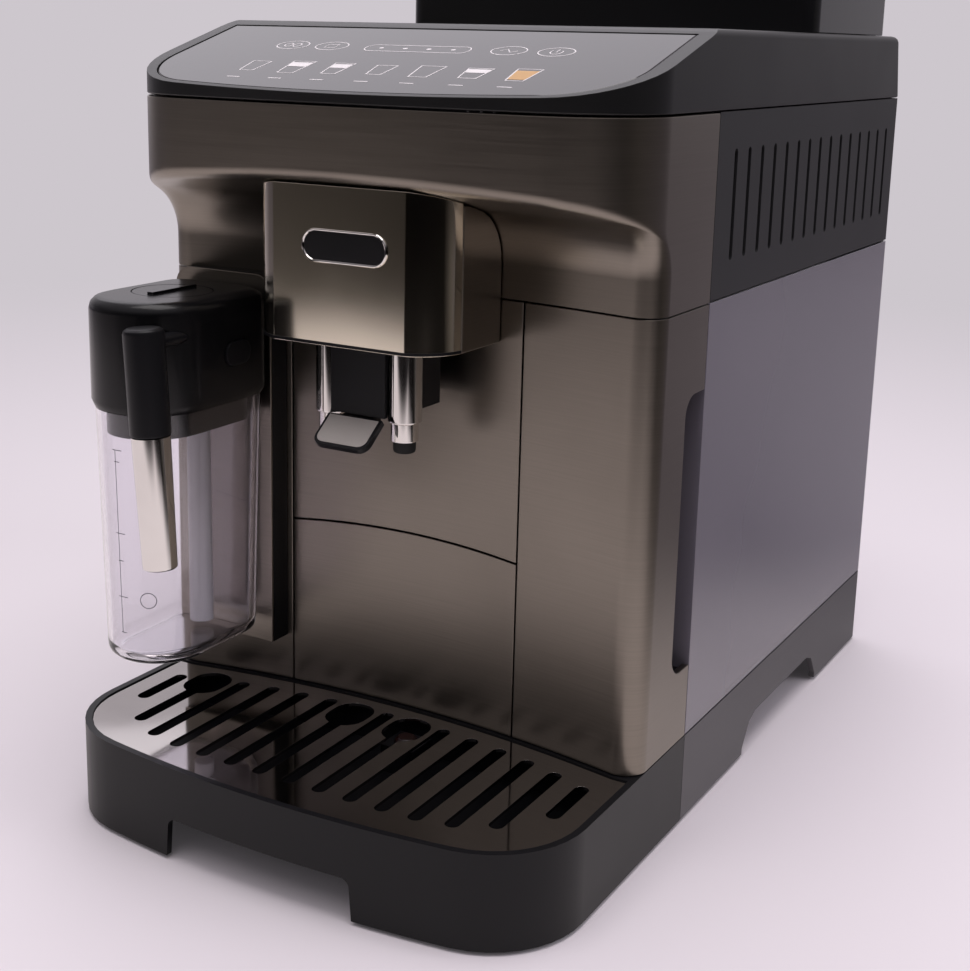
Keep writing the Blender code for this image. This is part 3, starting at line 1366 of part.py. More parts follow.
def dock_outline():
    """Front view of the dock, round at its upper corners."""
    corner = DOCK_CORNER
    points = [(DOCK_LEFT, DOCK_LOW), (DOCK_RIGHT, DOCK_LOW)]
    points += arc((DOCK_RIGHT - corner, DOCK_HIGH - corner), corner, 0, pi / 2)
    return points + arc((DOCK_LEFT + corner, DOCK_HIGH - corner), corner, pi / 2, pi)


def make_dock():
    between = [x for x in across(HALF, 2 * STATIONS) if DOCK_LEFT - WALL < x < DOCK_RIGHT + WALL]
    wall = [(x, alcove_y(x) - FIT) for x in between]
    rear = [(x, SEAM_Y) for x in (between[-1], between[0])]
    front = DOCK_FACE + DOCK_PLATE
    dock = prism("dock_panel", dock_outline(), front, SEAM_Y - OVERRUN, black_plastic("dock_plastic"), "Y")
    cut(dock, prism("dock_wall", wall + rear, DOCK_LOW - OVERRUN, DOCK_HIGH + OVERRUN, None))
    plate = prism("dock_plate", dock_outline(), DOCK_FACE, front - FIT, bronze("dock_bronze"), "Y")
    nozzle = turned("milk_nozzle", (CARAFE_X, NOZZLE_Z), [(NOZZLE_RADIUS - WALL / 2, nozzle_tip()),
                                                         (NOZZLE_RADIUS, nozzle_tip() + WALL / 2),
                                                         (NOZZLE_RADIUS, DOCK_FACE - FIT)],
                    dark_steel("nozzle_steel"), "Y", FINE_STEPS)
    return dock, plate, nozzle


def nozzle_tip():
    return DOCK_FACE - NOZZLE_REACH


# Back of the machine

def switch_pivot():
    return (REAR - WALL, SWITCH_Z)


def make_switch():
    """Rocker that rests tilted to its off side."""
    half = SWITCH_WIDE / 2
    tall = SWITCH_TALL / 2
    face = REAR - SWITCH_ROCK
    outline = [(REAR - SWITCH_DEPTH, -tall / 2), (REAR - SWITCH_DEPTH, tall / 2), (face - WALL, tall - FIT),
               (face, tall - 2 * FIT), (face - SWITCH_ROCK, 0), (face, 2 * FIT - tall), (face - WALL, FIT - tall)]
    pivot_y, pivot_z = switch_pivot()
    tilt = radians(-SWITCH_TILT)
    tilted = []
    for y, z in outline:
        along = y - pivot_y
        tilted.append((pivot_y + along * cos(tilt) - z * sin(tilt), pivot_z + along * sin(tilt) + z * cos(tilt)))
    return prism("main_switch", tilted, SWITCH_X - half, SWITCH_X + half, black_plastic("switch_plastic"), "X")


def make_inlet():
    half = INLET_WIDE / 2
    tall = INLET_TALL / 2
    outline = rounded((INLET_X - half, SWITCH_Z - tall), (INLET_X + half, SWITCH_Z + tall), WALL - FIT, 3)
    body = prism("power_inlet", outline, REAR - INLET_DEPTH, REAR, black_plastic("inlet_plastic"), "Y")
    rim = WALL / 2
    cut(body, prism("inlet_room", rounded((INLET_X - half + rim, SWITCH_Z - tall + rim),
                                          (INLET_X + half - rim, SWITCH_Z + tall - rim), WALL / 2, 3),
                    REAR - INLET_DEPTH + WALL, REAR + OVERRUN, None, "Y"))
    for i in (-1, 0, 1):
        x = INLET_X + i * INLET_WIDE / 4
        z = SWITCH_Z + (INLET_TALL / 8 if i == 0 else -INLET_TALL / 8)
        pin = block("inlet_pin", (x - INLET_PIN / 2, REAR - INLET_DEPTH + WALL / 2, z - INLET_PIN),
                    (x + INLET_PIN / 2, REAR - WALL, z + INLET_PIN), None)
        join(body, pin)
    return body


# Working parts inside

def make_grinder():
    centre = (GRINDER_X, GRINDER_Y)
    body = turned("grinder_body", centre, [(GRINDER_RADIUS, GRINDER_LOW + FIT), (GRINDER_RADIUS, GRINDER_HIGH - WALL),
                                          (GRINDER_RADIUS - WALL, GRINDER_HIGH)], dark_steel("grinder_metal"))
    cut(body, turned("burr_room", centre, [(BURR_RADIUS + REVEAL, GRINDER_LOW + 2 * WALL),
                                          (BURR_RADIUS + REVEAL, GRINDER_HIGH - WALL - REVEAL),
                                          (THROAT_RADIUS, GRINDER_HIGH - WALL), (THROAT_RADIUS, GRINDER_HIGH + OVERRUN)],
                     None))
    cut(body, turned("shaft_room", centre, [(SHAFT_RADIUS + FIT / 2, GRINDER_LOW - OVERRUN),
                                           (SHAFT_RADIUS + FIT / 2, GRINDER_LOW + 3 * WALL)], None, steps=FINE_STEPS))
    low = GRINDER_LOW + 2 * WALL + FIT
    high = GRINDER_HIGH - WALL - REVEAL - FIT
    rotor = turned("burr_rotor", centre, [(BURR_RADIUS, low), (BURR_RADIUS, low + WALL),
                                         (BURR_RADIUS / 2, high)], dark_steel("burr_steel"))
    for i in range(FLUTE_COUNT):
        angle = 2 * pi * i / FLUTE_COUNT
        x = GRINDER_X + BURR_RADIUS * cos(angle)
        y = GRINDER_Y + BURR_RADIUS * sin(angle)
        cut(rotor, turned("burr_flute", (x, y), [(WALL / 2, low - WALL), (WALL / 2, high + WALL)], None, steps=6))
    shaft = turned("rotor_shaft", centre, [(SHAFT_RADIUS, GRINDER_LOW + WALL / 2), (SHAFT_RADIUS, low + WALL / 2)],
                   None, steps=FINE_STEPS)
    join(rotor, shaft)
    motor = turned("grinder_motor", centre, [(MOTOR_RADIUS, DECK_Z + FIT), (MOTOR_RADIUS, GRINDER_LOW - WALL),
                                            (MOTOR_RADIUS - WALL, GRINDER_LOW)], dark_steel("motor_steel"))
    return body, rotor, motor


def make_brew_unit():
    floor = BASE_FLOOR + WALL + FIT
    low = (brew_right() - BREW_WIDE, BREW_FRONT)
    high = (brew_right(), BREW_FRONT + BREW_LENGTH)
    unit = prism("brew_unit", rounded(low, high, WALL * 2, 3), floor, BREW_HIGH, grey_plastic("brew_plastic"))
    centre = brew_centre()
    cut(unit, turned("brew_bore", centre, [(BREW_BORE, brew_seat()), (BREW_BORE, BREW_HIGH + OVERRUN)], None))
    window = block("puck_window", (centre[0] - BREW_BORE / 2, BREW_FRONT - OVERRUN, BREW_HIGH - PISTON_HEIGHT),
                   (centre[0] + BREW_BORE / 2, centre[1], BREW_HIGH + OVERRUN), None)
    cut(unit, window)
    piston = turned("brew_piston", centre, [(BREW_BORE - FIT, brew_seat() + FIT),
                                           (BREW_BORE - FIT, brew_seat() + PISTON_HEIGHT)], dark_steel("piston_steel"))
    drive_x = low[0] - FIT
    drive = turned("brew_drive", (centre[1], floor + DRIVE_RADIUS), [(DRIVE_RADIUS, drive_x - DRIVE_LENGTH),
                                                                    (DRIVE_RADIUS, drive_x - WALL),
                                                                    (DRIVE_RADIUS / 2, drive_x)],
                   dark_steel("drive_steel"), "X")
    return unit, piston, drive


def brew_right():
    return frame_bay_x() - FRAME_WALL - FIT


def brew_centre():
    return (brew_right() - BREW_WIDE / 2, BREW_FRONT + BREW_LENGTH / 2)


def brew_seat():
    return BREW_HIGH - 3 * PISTON_HEIGHT


def make_boiler():
    """Boiler that stands on the deck in front of the grinder, with two ports on top."""
    low = DECK_Z + FIT
    high = low + BOILER_TALL
    half = BOILER_WIDE / 2
    long = BOILER_LONG / 2
    outline = rounded((BOILER_X - half, BOILER_Y - long), (BOILER_X + half, BOILER_Y + long), OVERRUN)
    body = prism("boiler", outline, low, high, finish("boiler_aluminium", (0.5, 0.5, 0.5), 0.4, 1.0))
    for side in (-1, 1):
        port = [(SHAFT_RADIUS, high - WALL), (SHAFT_RADIUS, high + OVERRUN)]
        join(body, turned("boiler_port", (BOILER_X + side * half / 2, BOILER_Y), port, None, steps=FINE_STEPS))
    return body


def make_pump():
    floor = BASE_FLOOR + WALL + FIT
    front = PUMP_Y - PUMP_LENGTH / 2
    centre_z = floor + PUMP_RADIUS + WALL
    profile = [(SHAFT_RADIUS, front - OVERRUN), (SHAFT_RADIUS, front), (PUMP_RADIUS, front + FIT),
               (PUMP_RADIUS, front + PUMP_LENGTH - FIT), (SHAFT_RADIUS, front + PUMP_LENGTH)]
    pump = turned("pump", (PUMP_X, centre_z), profile, black_plastic("pump_plastic"), "Y")
    saddle = block("pump_saddle", (PUMP_X - PUMP_RADIUS / 2, front + OVERRUN, floor),
                   (PUMP_X + PUMP_RADIUS / 2, front + PUMP_LENGTH - OVERRUN, centre_z), None)
    return join(pump, saddle)


def make_board():
    back = SEAM_Y + REVEAL + WALL + FIT + FRAME_WALL + FIT
    low = BIN_HIGH + BOARD_RISE
    high = DECK_Z - FRAME_WALL - BOARD_HEAD
    board = block("circuit_board", (BOARD_LEFT, back, low), (BOARD_LEFT + BOARD_WIDE, back + BOARD_THICK, high),
                  finish("board_green", (0.02, 0.10, 0.04), 0.5))
    part_shares = ((0.15, 0.2, 0.25, 0.25), (0.5, 0.55, 0.2, 0.3), (0.65, 0.15, 0.2, 0.2))
    for left_share, low_share, wide_share, tall_share in part_shares:
        x = BOARD_LEFT + BOARD_WIDE * left_share
        z = low + (high - low) * low_share
        join(board, block("board_part", (x, back + BOARD_THICK / 2, z),
                          (x + BOARD_WIDE * wide_share, back + OVERRUN, z + (high - low) * tall_share), None))
    return board


def main():
    for piece in list(bpy.data.objects):
        bpy.data.objects.remove(piece)
    make_base()
    make_feet()
    make_inner_frame()
    make_side("side_panel", -1, TRAY_TOP + FIT, grey_plastic("side_plastic"))
    make_side("vent_panel", 1, SPLIT_Z + REVEAL, grey_plastic("vent_plastic"))
    make_back()
    make_hood()
    make_column("column_left", -1)
    make_grip(make_column("column_right", 1))
    make_centre_panel()
    cover = make_cover()
    make_control_panel(cover)
    make_housing()
    make_bracket()
    make_dock()
    make_inlet()
    body, rotor, motor = make_grinder()
    ride([rotor], (GRINDER_X, GRINDER_Y, GRINDER_LOW), "burr_axis")
    unit, piston, drive = make_brew_unit()
    ride([piston], (*brew_centre(), brew_seat()), "piston_axis")
    make_boiler()
    make_pump()
    make_board()
    ride([make_switch()], (SWITCH_X, *switch_pivot()), "switch_axis")
    make_hopper()
    ride([make_hopper_lid()], (0, HOPPER_FRONT, HOPPER_LEDGE), "hopper_lid_lift")
    ride([make_dial()], (*dial_centre(), dial_low()), "dial_axis")
    door, hinge = make_door()
    ride([door], hinge, "door_axis")
    tank, tank_lid, valve = make_tank()
    tank_slide = ride([tank, tank_lid], (HALF, SEAM_Y, TRAY_TOP), "tank_slide")
    ride([valve], (HALF - TANK_DEPTH, VALVE_Y, VALVE_Z), "valve_slide", tank_slide)
    grounds_front, grounds_bin = make_bin()
    tray_slide = ride([make_tray(), grounds_front, grounds_bin], (0, -TRAY_FRONT, 0), "tray_slide")
    ride([make_grille()], (0, -TRAY_FRONT, TRAY_TOP), "grille_lift", tray_slide)
    ride([make_float()], (*float_centre(), float_low()), "float_slide", tray_slide)
    ride([make_carriage(), *make_pipes(), make_tab()], (0, PIPE_Y, HOUSING_LOW), "spout_slide")
    dial, buttons, intake = make_carafe_fittings()
    carafe = ride([make_cap(), intake], (CARAFE_X, CARAFE_BACK, NOZZLE_Z), "carafe_slide")
    ride([make_container()], (CARAFE_X, CARAFE_BACK, CAP_LOW), "container_drop", carafe)
    ride([dial], (CARAFE_X, FROTH_Y, CAP_TOP), "froth_axis", carafe)
    for button in buttons:
        ride([button], (CARAFE_X, BUTTON_Y, BUTTON_Z), button.name + "_slide", carafe)
    ride(make_arm(), (ARM_X, ARM_Y, ARM_PIVOT_Z), "arm_axis", carafe)


main()
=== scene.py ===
# Looks of a countertop bean to cup coffee machine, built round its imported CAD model.
# Metres, +Z up, front towards -Y. Every length below is the real machine's.
import json
from math import asin, atan, cos, pi, radians, sin, sqrt

import bmesh
import bpy
from mathutils import Matrix, Vector

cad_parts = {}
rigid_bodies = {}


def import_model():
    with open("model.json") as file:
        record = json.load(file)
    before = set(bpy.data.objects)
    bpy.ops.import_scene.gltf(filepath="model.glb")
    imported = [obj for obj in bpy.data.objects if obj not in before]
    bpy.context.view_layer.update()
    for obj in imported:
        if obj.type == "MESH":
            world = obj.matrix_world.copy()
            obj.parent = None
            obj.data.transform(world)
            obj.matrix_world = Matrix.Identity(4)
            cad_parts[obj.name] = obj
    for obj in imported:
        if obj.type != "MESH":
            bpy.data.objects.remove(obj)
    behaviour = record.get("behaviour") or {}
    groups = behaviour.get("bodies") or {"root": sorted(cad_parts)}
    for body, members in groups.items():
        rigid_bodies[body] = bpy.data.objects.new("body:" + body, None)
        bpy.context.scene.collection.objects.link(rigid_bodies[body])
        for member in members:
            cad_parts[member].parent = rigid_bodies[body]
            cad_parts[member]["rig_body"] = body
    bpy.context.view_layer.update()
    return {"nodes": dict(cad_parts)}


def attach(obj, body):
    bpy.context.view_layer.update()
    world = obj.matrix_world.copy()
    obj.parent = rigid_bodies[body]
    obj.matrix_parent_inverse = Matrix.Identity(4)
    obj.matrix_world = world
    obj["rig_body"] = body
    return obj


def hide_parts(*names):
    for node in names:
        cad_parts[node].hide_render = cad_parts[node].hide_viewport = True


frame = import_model()
cadNodes = frame["nodes"]
mm = 0.001

# Measures that several pieces share
half = 0.120        # half the machine's width
wall = 0.003        # sheet and shell thickness
fit = 0.0003        # gap between pieces that seat on each other
reveal = 0.0007     # dark line between two panels
seamY = -0.060      # where the metal front meets the side panels
trayTop = 0.042
splitZ = 0.232      # hood above, columns below
hoodTop = 0.3085
sharpAngle = radians(32)  # edges steeper than this stay crisp or get a round
flatAngle = radians(0.2)  # flatter than this, two CAD faces are one
weldMm = 0.001            # corners closer than this become one
cadWeldMm = 0.002         # the same for the CAD solids' corners


# sRGB hex to the linear colour that the shader wants
def linear(hexColour):
    values = []
    for i in (1, 3, 5):
        share = int(hexColour[i:i + 2], 16) / 255
        values.append(share / 12.92 if share <= 0.04045 else ((share + 0.055) / 1.055) ** 2.4)
    return (*values, 1.0)


def addNode(tree, kind, inputs=None, **settings):
    node = tree.nodes.new("ShaderNode" + kind)
    for key, value in settings.items():
        setattr(node, key, value)
    for key, value in (inputs or {}).items():
        if isinstance(value, bpy.types.NodeSocket):
            tree.links.new(value, node.inputs[key])
        else:
            node.inputs[key].default_value = value
    return node


# A material with its even settings, and what its patterns hang on: tree, shader and object place
def newMaterial(finish):
    material = bpy.data.materials.new(finish["name"])
    material.use_nodes = True
    tree = material.node_tree
    shader = tree.nodes["Principled BSDF"]
    for key, value in finish.get("shader", {}).items():
        shader.inputs[key].default_value = value
    place = addNode(tree, "TexCoord").outputs["Object"]
    return material, tree, shader, place


# Camera: where the photograph was taken from, worked back from the machine's edges

print("camera and light")
shot = dict(place=(0.34759, -0.6498, 0.33435), turn=29.78, tip=13.29, roll=1.32,
            focal=1557.45, centre=(471.95, 405.88), frame=(970, 971), sensor=36.0, clip=(0.01, 40))


def makeCamera(shot):
    turn, tip, roll = (radians(shot[key]) for key in ("turn", "tip", "roll"))
    ahead = Vector((-sin(turn) * cos(tip), cos(turn) * cos(tip), -sin(tip)))
    right = ahead.cross(Vector((0, 0, 1))).normalized()
    up = right.cross(ahead)
    frameRight = right * cos(roll) + up * sin(roll)
    frameUp = up * cos(roll) - right * sin(roll)
    data = bpy.data.cameras.new("camera")
    data.sensor_fit = "HORIZONTAL"
    data.sensor_width = shot["sensor"]
    wide, tall = shot["frame"]
    data.lens = shot["focal"] * shot["sensor"] / wide
    data.shift_x = (wide / 2 - shot["centre"][0]) / wide
    data.shift_y = (shot["centre"][1] - tall / 2) / wide
    data.clip_start, data.clip_end = shot["clip"]
    camera = bpy.data.objects.new("camera", data)
    camera.matrix_world = (Matrix.Translation(shot["place"])
                           @ Matrix((frameRight, frameUp, -ahead)).transposed().to_4x4())
    bpy.context.collection.objects.link(camera)
    bpy.context.scene.camera = camera


makeCamera(shot)
bpy.context.scene.view_settings.view_transform = "Standard"

# Plain studio: a pale sweep to the eye. Metal sees a table that ends at its front, right and rear edges,
# and past them a room that is pale behind the machine's left and dark opposite
studio = dict(
    pale="#cdc7cd", floorPale="#e9e2e8", tableNear="#eae4e4", ceiling="#b9b4ba", backWay=(-0.5, 0.866, 0),
    room=((0.0, "#0c0b0b"), (0.18, "#121110"), (0.29, "#4c4946"), (0.72, "#6e6a70"), (1.0, "#d4ced4")),
    tableFront=(0.342, -0.94, 0), tableRear=(0.7, 0.7, 0), frontEdge=(0.76, 0.98), rightEdge=(0.5, 0.8),
    rearEdge=(0.12, 0.42), farEdge=(1.15, 1.6), fadeNear=0.12, fadeFar=1.5, skyLow=0.18, skyHigh=0.75,
    reach=6.0, roughness=0.6, sheen=0.2)


# How far a point lies along a level direction
def distanceAlong(tree, place, way):
    return addNode(tree, "VectorMath", {0: place, 1: way}, operation="DOT_PRODUCT").outputs["Value"]


# Colour of the room in a direction
def roomColour(tree, way):
    level = addNode(tree, "VectorMath", {0: way, 1: (1, 1, 0)}, operation="MULTIPLY")
    level = addNode(tree, "VectorMath", {0: level.outputs["Vector"]}, operation="NORMALIZE")
    toward = distanceAlong(tree, level.outputs["Vector"], studio["backWay"])
    share = addNode(tree, "MapRange", {"Value": toward, "From Min": -1.0, "From Max": 1.0})
    ramp = addNode(tree, "ValToRGB", {"Fac": share.outputs["Result"]})
    stops = ramp.color_ramp.elements
    while len(stops) < len(studio["room"]):
        stops.new(0.5)
    for stop, (place, colour) in zip(stops, studio["room"]):
        stop.position = place
        stop.color = linear(colour)
    return ramp.outputs["Color"]


def makeWorld():
    world = bpy.data.worlds.new("studio")
    bpy.context.scene.world = world
    world.use_nodes = True
    tree = world.node_tree
    tree.nodes.clear()
    way = addNode(tree, "TexCoord").outputs["Generated"]
    parts = addNode(tree, "SeparateXYZ", {"Vector": way})
    high = addNode(tree, "MapRange", {"Value": parts.outputs["Z"], "From Min": studio["skyLow"],
                                      "From Max": studio["skyHigh"]}, interpolation_type="SMOOTHSTEP")
    room = addNode(tree, "MixRGB", {"Fac": high.outputs["Result"], "Color1": roomColour(tree, way),
                                    "Color2": linear(studio["ceiling"])})
    eye = addNode(tree, "LightPath").outputs["Is Camera Ray"]
    seen = addNode(tree, "MixRGB", {"Fac": eye, "Color1": room.outputs["Color"],
                                    "Color2": linear(studio["pale"])})
    back = addNode(tree, "Background", {"Color": seen.outputs["Color"], "Strength": 1.0})
    out = addNode(tree, "OutputWorld")
    tree.links.new(back.outputs["Background"], out.inputs["Surface"])


def makeFloor():
    mesh = bpy.data.meshes.new("floor")
    reach = studio["reach"]
    mesh.from_pydata([(-reach, -reach, 0), (reach, -reach, 0), (reach, reach, 0), (-reach, reach, 0)], [],
                     [(0, 1, 2, 3)])
    floor = bpy.data.objects.new("floor", mesh)
    bpy.context.collection.objects.link(floor)
    material = bpy.data.materials.new("pale table top")
    material.use_nodes = True
    tree = material.node_tree
    shader = tree.nodes["Principled BSDF"]
    shader.inputs["Roughness"].default_value = studio["roughness"]
    place = addNode(tree, "NewGeometry").outputs["Position"]
    far = addNode(tree, "VectorMath", {0: place}, operation="LENGTH").outputs["Value"]
    front = distanceAlong(tree, place, studio["tableFront"])
    rear = distanceAlong(tree, place, studio["tableRear"])
    right = addNode(tree, "SeparateXYZ", {"Vector": place}).outputs["X"]
    off = 0.0
    for value, edge in ((front, "frontEdge"), (right, "rightEdge"), (rear, "rearEdge"), (far, "farEdge")):
        start, end = studio[edge]
        past = addNode(tree, "MapRange", {"Value": value, "From Min": start, "From Max": end},
                       interpolation_type="SMOOTHSTEP")
        off = addNode(tree, "Math", {0: past.outputs["Result"], 1: off}, operation="MAXIMUM").outputs["Value"]
    reflected = addNode(tree, "MixRGB", {"Fac": off, "Color1": linear(studio["tableNear"]),
                                         "Color2": roomColour(tree, place)})
    eye = addNode(tree, "LightPath").outputs["Is Camera Ray"]
    seen = addNode(tree, "MixRGB", {"Fac": eye, "Color1": reflected.outputs["Color"],
                                    "Color2": linear(studio["floorPale"])})
    tree.links.new(seen.outputs["Color"], shader.inputs["Base Color"])
    sheen = addNode(tree, "Math", {0: eye, 1: studio["sheen"]}, operation="MULTIPLY")
    tree.links.new(sheen.outputs["Value"], shader.inputs["Specular IOR Level"])
    fade = addNode(tree, "MapRange", {"Value": far, "From Min": studio["fadeNear"],
                                      "From Max": studio["fadeFar"]})
    share = addNode(tree, "Math", {0: fade.outputs["Result"], 1: eye}, operation="MULTIPLY")
    haze = addNode(tree, "Emission", {"Color": linear(studio["pale"]), "Strength": 1.0})
    mixed = addNode(tree, "MixShader", {0: share.outputs["Value"], 1: shader.outputs["BSDF"],
                                        2: haze.outputs["Emission"]})
    tree.links.new(mixed.outputs["Shader"], tree.nodes["Material Output"].inputs["Surface"])
    mesh.materials.append(material)


# Square softboxes; one that isn't mirrored lights the machine without a bright patch in its metal
softboxes = (
    dict(name="overhead softbox", place=(0.15, 0.0, 2.1), aim=(0, 0, 0.1), size=1.6, power=24, colour="#fffafa",
         mirrored=True),
    dict(name="rear left softbox", place=(-0.85, 0.95, 1.45), aim=(0, -0.05, 0.25), size=1.5, power=4.3,
         colour="#fbf8ff", mirrored=True),
    dict(name="right softbox", place=(1.8, 0.4, 1.2), aim=(0, 0.05, 0.15), size=1.1, power=10, colour="#fbf8ff",
         mirrored=False),
    dict(name="front fill", place=(0.0, -1.1, 2.1), aim=(0, -0.3, 0.0), size=1.6, power=9, colour="#fffafa",
         mirrored=False))


def makeLamp(box):
    data = bpy.data.lights.new(box["name"], "AREA")
    data.shape = "SQUARE"
    data.size = box["size"]
    data.energy = box["power"]
    data.color = linear(box["colour"])[:3]
    lamp = bpy.data.objects.new(box["name"], data)
    lamp.location = box["place"]
    lamp.rotation_mode = "QUATERNION"
    lamp.rotation_quaternion = (Vector(box["aim"]) - Vector(box["place"])).to_track_quat("-Z", "Y")
    lamp.visible_glossy = box["mirrored"]
    bpy.context.collection.objects.link(lamp)


makeWorld()
makeFloor()
for box in softboxes:
    makeLamp(box)

# Finishes, each from what the real surface is

print("materials")


# Hair lines run level round the machine, so a highlight spreads into upright bands
def brushedMetal(**finish):
    material, tree, shader, place = newMaterial(finish)
    level, upward = 1 / (finish["hairLengthMm"] * mm), 1 / (finish["hairMm"] * mm)
    stretched = addNode(tree, "Mapping", {"Vector": place, "Scale": (level, level, upward)})
    hairs = addNode(tree, "TexNoise", {"Vector": stretched.outputs["Vector"], "Scale": 1.0, "Detail": 3.0})
    drift = addNode(tree, "TexNoise", {"Vector": place, "Scale": 1 / (finish["patchMm"] * mm), "Detail": 2.0})
    tone = addNode(tree, "Math", {0: hairs.outputs["Fac"], 1: drift.outputs["Fac"]}, operation="MULTIPLY")
    colour = addNode(tree, "MixRGB", {"Fac": tone.outputs["Value"], "Color1": linear(finish["colour"]),
                                      "Color2": linear(finish["colourLight"])})
    smoothest, roughest = finish["roughness"] - finish["spread"], finish["roughness"] + finish["spread"]
    rough = addNode(tree, "MapRange", {"Value": hairs.outputs["Fac"], "To Min": smoothest, "To Max": roughest})
    bump = addNode(tree, "Bump", {"Height": hairs.outputs["Fac"], "Strength": finish["hairStrength"],
                                  "Distance": finish["hairDepthMm"] * mm})
    x, y, z = finish["spreadWay"]
    upright = addNode(tree, "CombineXYZ", {"X": x, "Y": y, "Z": z})
    tree.links.new(colour.outputs["Color"], shader.inputs["Base Color"])
    tree.links.new(rough.outputs["Result"], shader.inputs["Roughness"])
    tree.links.new(bump.outputs["Normal"], shader.inputs["Normal"])
    tree.links.new(upright.outputs["Vector"], shader.inputs["Tangent"])
    return material


glossDrift = 0.04  # how far the roughness of a moulding wanders


# Moulded plastic, rubber or cast metal: colour and gloss drift a little, and the mould's own grain shows
def moulded(**finish):
    material, tree, shader, place = newMaterial(finish)
    drift = addNode(tree, "TexNoise", {"Vector": place, "Scale": 1 / (finish["patchMm"] * mm), "Detail": 2.0})
    grain = addNode(tree, "TexNoise", {"Vector": place, "Scale": 1 / (finish["grainMm"] * mm), "Detail": 3.0})
    colour = addNode(tree, "MixRGB", {"Fac": drift.outputs["Fac"], "Color1": linear(finish["colour"]),
                                      "Color2": linear(finish["colourLight"])})
    smoothest, roughest = finish["roughness"] - glossDrift, finish["roughness"] + glossDrift
    rough = addNode(tree, "MapRange", {"Value": drift.outputs["Fac"], "To Min": smoothest, "To Max": roughest})
    bump = addNode(tree, "Bump", {"Height": grain.outputs["Fac"], "Strength": finish["grainStrength"],
                                  "Distance": finish["grainDepthMm"] * mm})
    tree.links.new(colour.outputs["Color"], shader.inputs["Base Color"])
    tree.links.new(rough.outputs["Result"], shader.inputs["Roughness"])
    tree.links.new(bump.outputs["Normal"], shader.inputs["Normal"])
    return material


# Thin clear plastic hardly shades what stands inside it
def letLampsThrough(material, colour):
    tree = material.node_tree
    output = tree.nodes["Material Output"]
    lamps = addNode(tree, "LightPath").outputs["Is Shadow Ray"]
    through = addNode(tree, "BsdfTransparent", {"Color": linear(colour)})
    mixed = addNode(tree, "MixShader", {0: lamps, 1: tree.nodes["Principled BSDF"].outputs["BSDF"],
                                        2: through.outputs["BSDF"]})
    tree.links.new(mixed.outputs["Shader"], output.inputs["Surface"])


# Brushed steel under bronze lacquer: upright bands of light, hair lines too fine to count
bronze = brushedMetal(
    name="brushed bronze lacquered steel", colour="#827b72", colourLight="#9c948a", roughness=0.31,
    spread=0.05, spreadWay=(0.02, 0.03, 1.0), patchMm=60, hairMm=0.5, hairLengthMm=45, hairDepthMm=0.02,
    hairStrength=0.25, shader={"Metallic": 1.0, "Anisotropic": 0.55})
# Vacuum metallised ABS under warm lacquer: a mirror with a champagne cast
champagne = moulded(
    name="champagne metallised ABS", colour="#e8dfca", colourLight="#f0e8d6", roughness=0.10, patchMm=45,
    grainMm=35, grainDepthMm=0.01, grainStrength=0.1, shader={"Metallic": 1.0})
# Chrome plate on brass tube: hard black and white reflections, a trace of wiping haze
chromePlate = moulded(
    name="chrome plate", colour="#dad6d2", colourLight="#e4e1dd", roughness=0.07, patchMm=12, grainMm=4,
    grainDepthMm=0.004, grainStrength=0.1, shader={"Metallic": 1.0})
# Stainless sheet, bright rolled: nearly a mirror, faintly wavy
brightSteel = moulded(
    name="bright rolled stainless steel", colour="#b9b4b2", colourLight="#c4bfbc", roughness=0.07,
    patchMm=30, grainMm=22, grainDepthMm=0.02, grainStrength=0.2, shader={"Metallic": 1.0})
# Turned steel of the milk nozzle, burrs, motor and drive: a broad dull shine
satinSteel = moulded(
    name="satin turned steel", colour="#8b8b8e", colourLight="#9a9a9c", roughness=0.32, patchMm=10,
    grainMm=0.8, grainDepthMm=0.02, grainStrength=0.3, shader={"Metallic": 1.0})
# Satin ABS: black with a soft sheen, fine enough grain that it only takes the edge off reflections
satinAbs = moulded(
    name="satin black ABS", colour="#121215", colourLight="#161619", roughness=0.36, patchMm=50,
    grainMm=0.7, grainDepthMm=0.02, grainStrength=0.35, shader={"IOR": 1.53, "Specular IOR Level": 0.21})
# The same ABS on the top cover, a little glossier, so its slopes catch the room
coverAbs = moulded(
    name="satin black cover ABS", colour="#171718", colourLight="#1b1b1c", roughness=0.36, patchMm=50,
    grainMm=0.7, grainDepthMm=0.02, grainStrength=0.35, shader={"IOR": 1.53, "Specular IOR Level": 0.36})
# The carafe's lid is the same ABS polished a little by handling: a clearer sheen along its top
lidAbs = moulded(
    name="handled black ABS", colour="#0e0e10", colourLight="#121214", roughness=0.24, patchMm=50,
    grainMm=0.7, grainDepthMm=0.015, grainStrength=0.25, shader={"IOR": 1.53, "Specular IOR Level": 0.3})
# Spark eroded ABS of the side and back panels: greyer, each grain about half a millimetre
texturedAbs = moulded(
    name="textured grey black ABS", colour="#242426", colourLight="#2a2a2c", roughness=0.47, patchMm=60,
    grainMm=0.6, grainDepthMm=0.06, grainStrength=0.6, shader={"IOR": 1.53})
# The base is the same plastic a shade lighter: partly a greyer tone of its own, partly painted light, the
# floor's bounce painted into its colour
bounceLitBaseAbs = moulded(
    name="textured grey ABS with painted floor bounce", colour="#4b494d", colourLight="#525054", roughness=0.47, patchMm=60,
    grainMm=0.6, grainDepthMm=0.06, grainStrength=0.6, shader={"IOR": 1.53})
# Polished SAN of hopper and lid: near black with clear reflections
glossSan = moulded(
    name="gloss black SAN", colour="#19191b", colourLight="#1e1e20", roughness=0.16, patchMm=70, grainMm=14,
    grainDepthMm=0.02, grainStrength=0.15, shader={"IOR": 1.57})
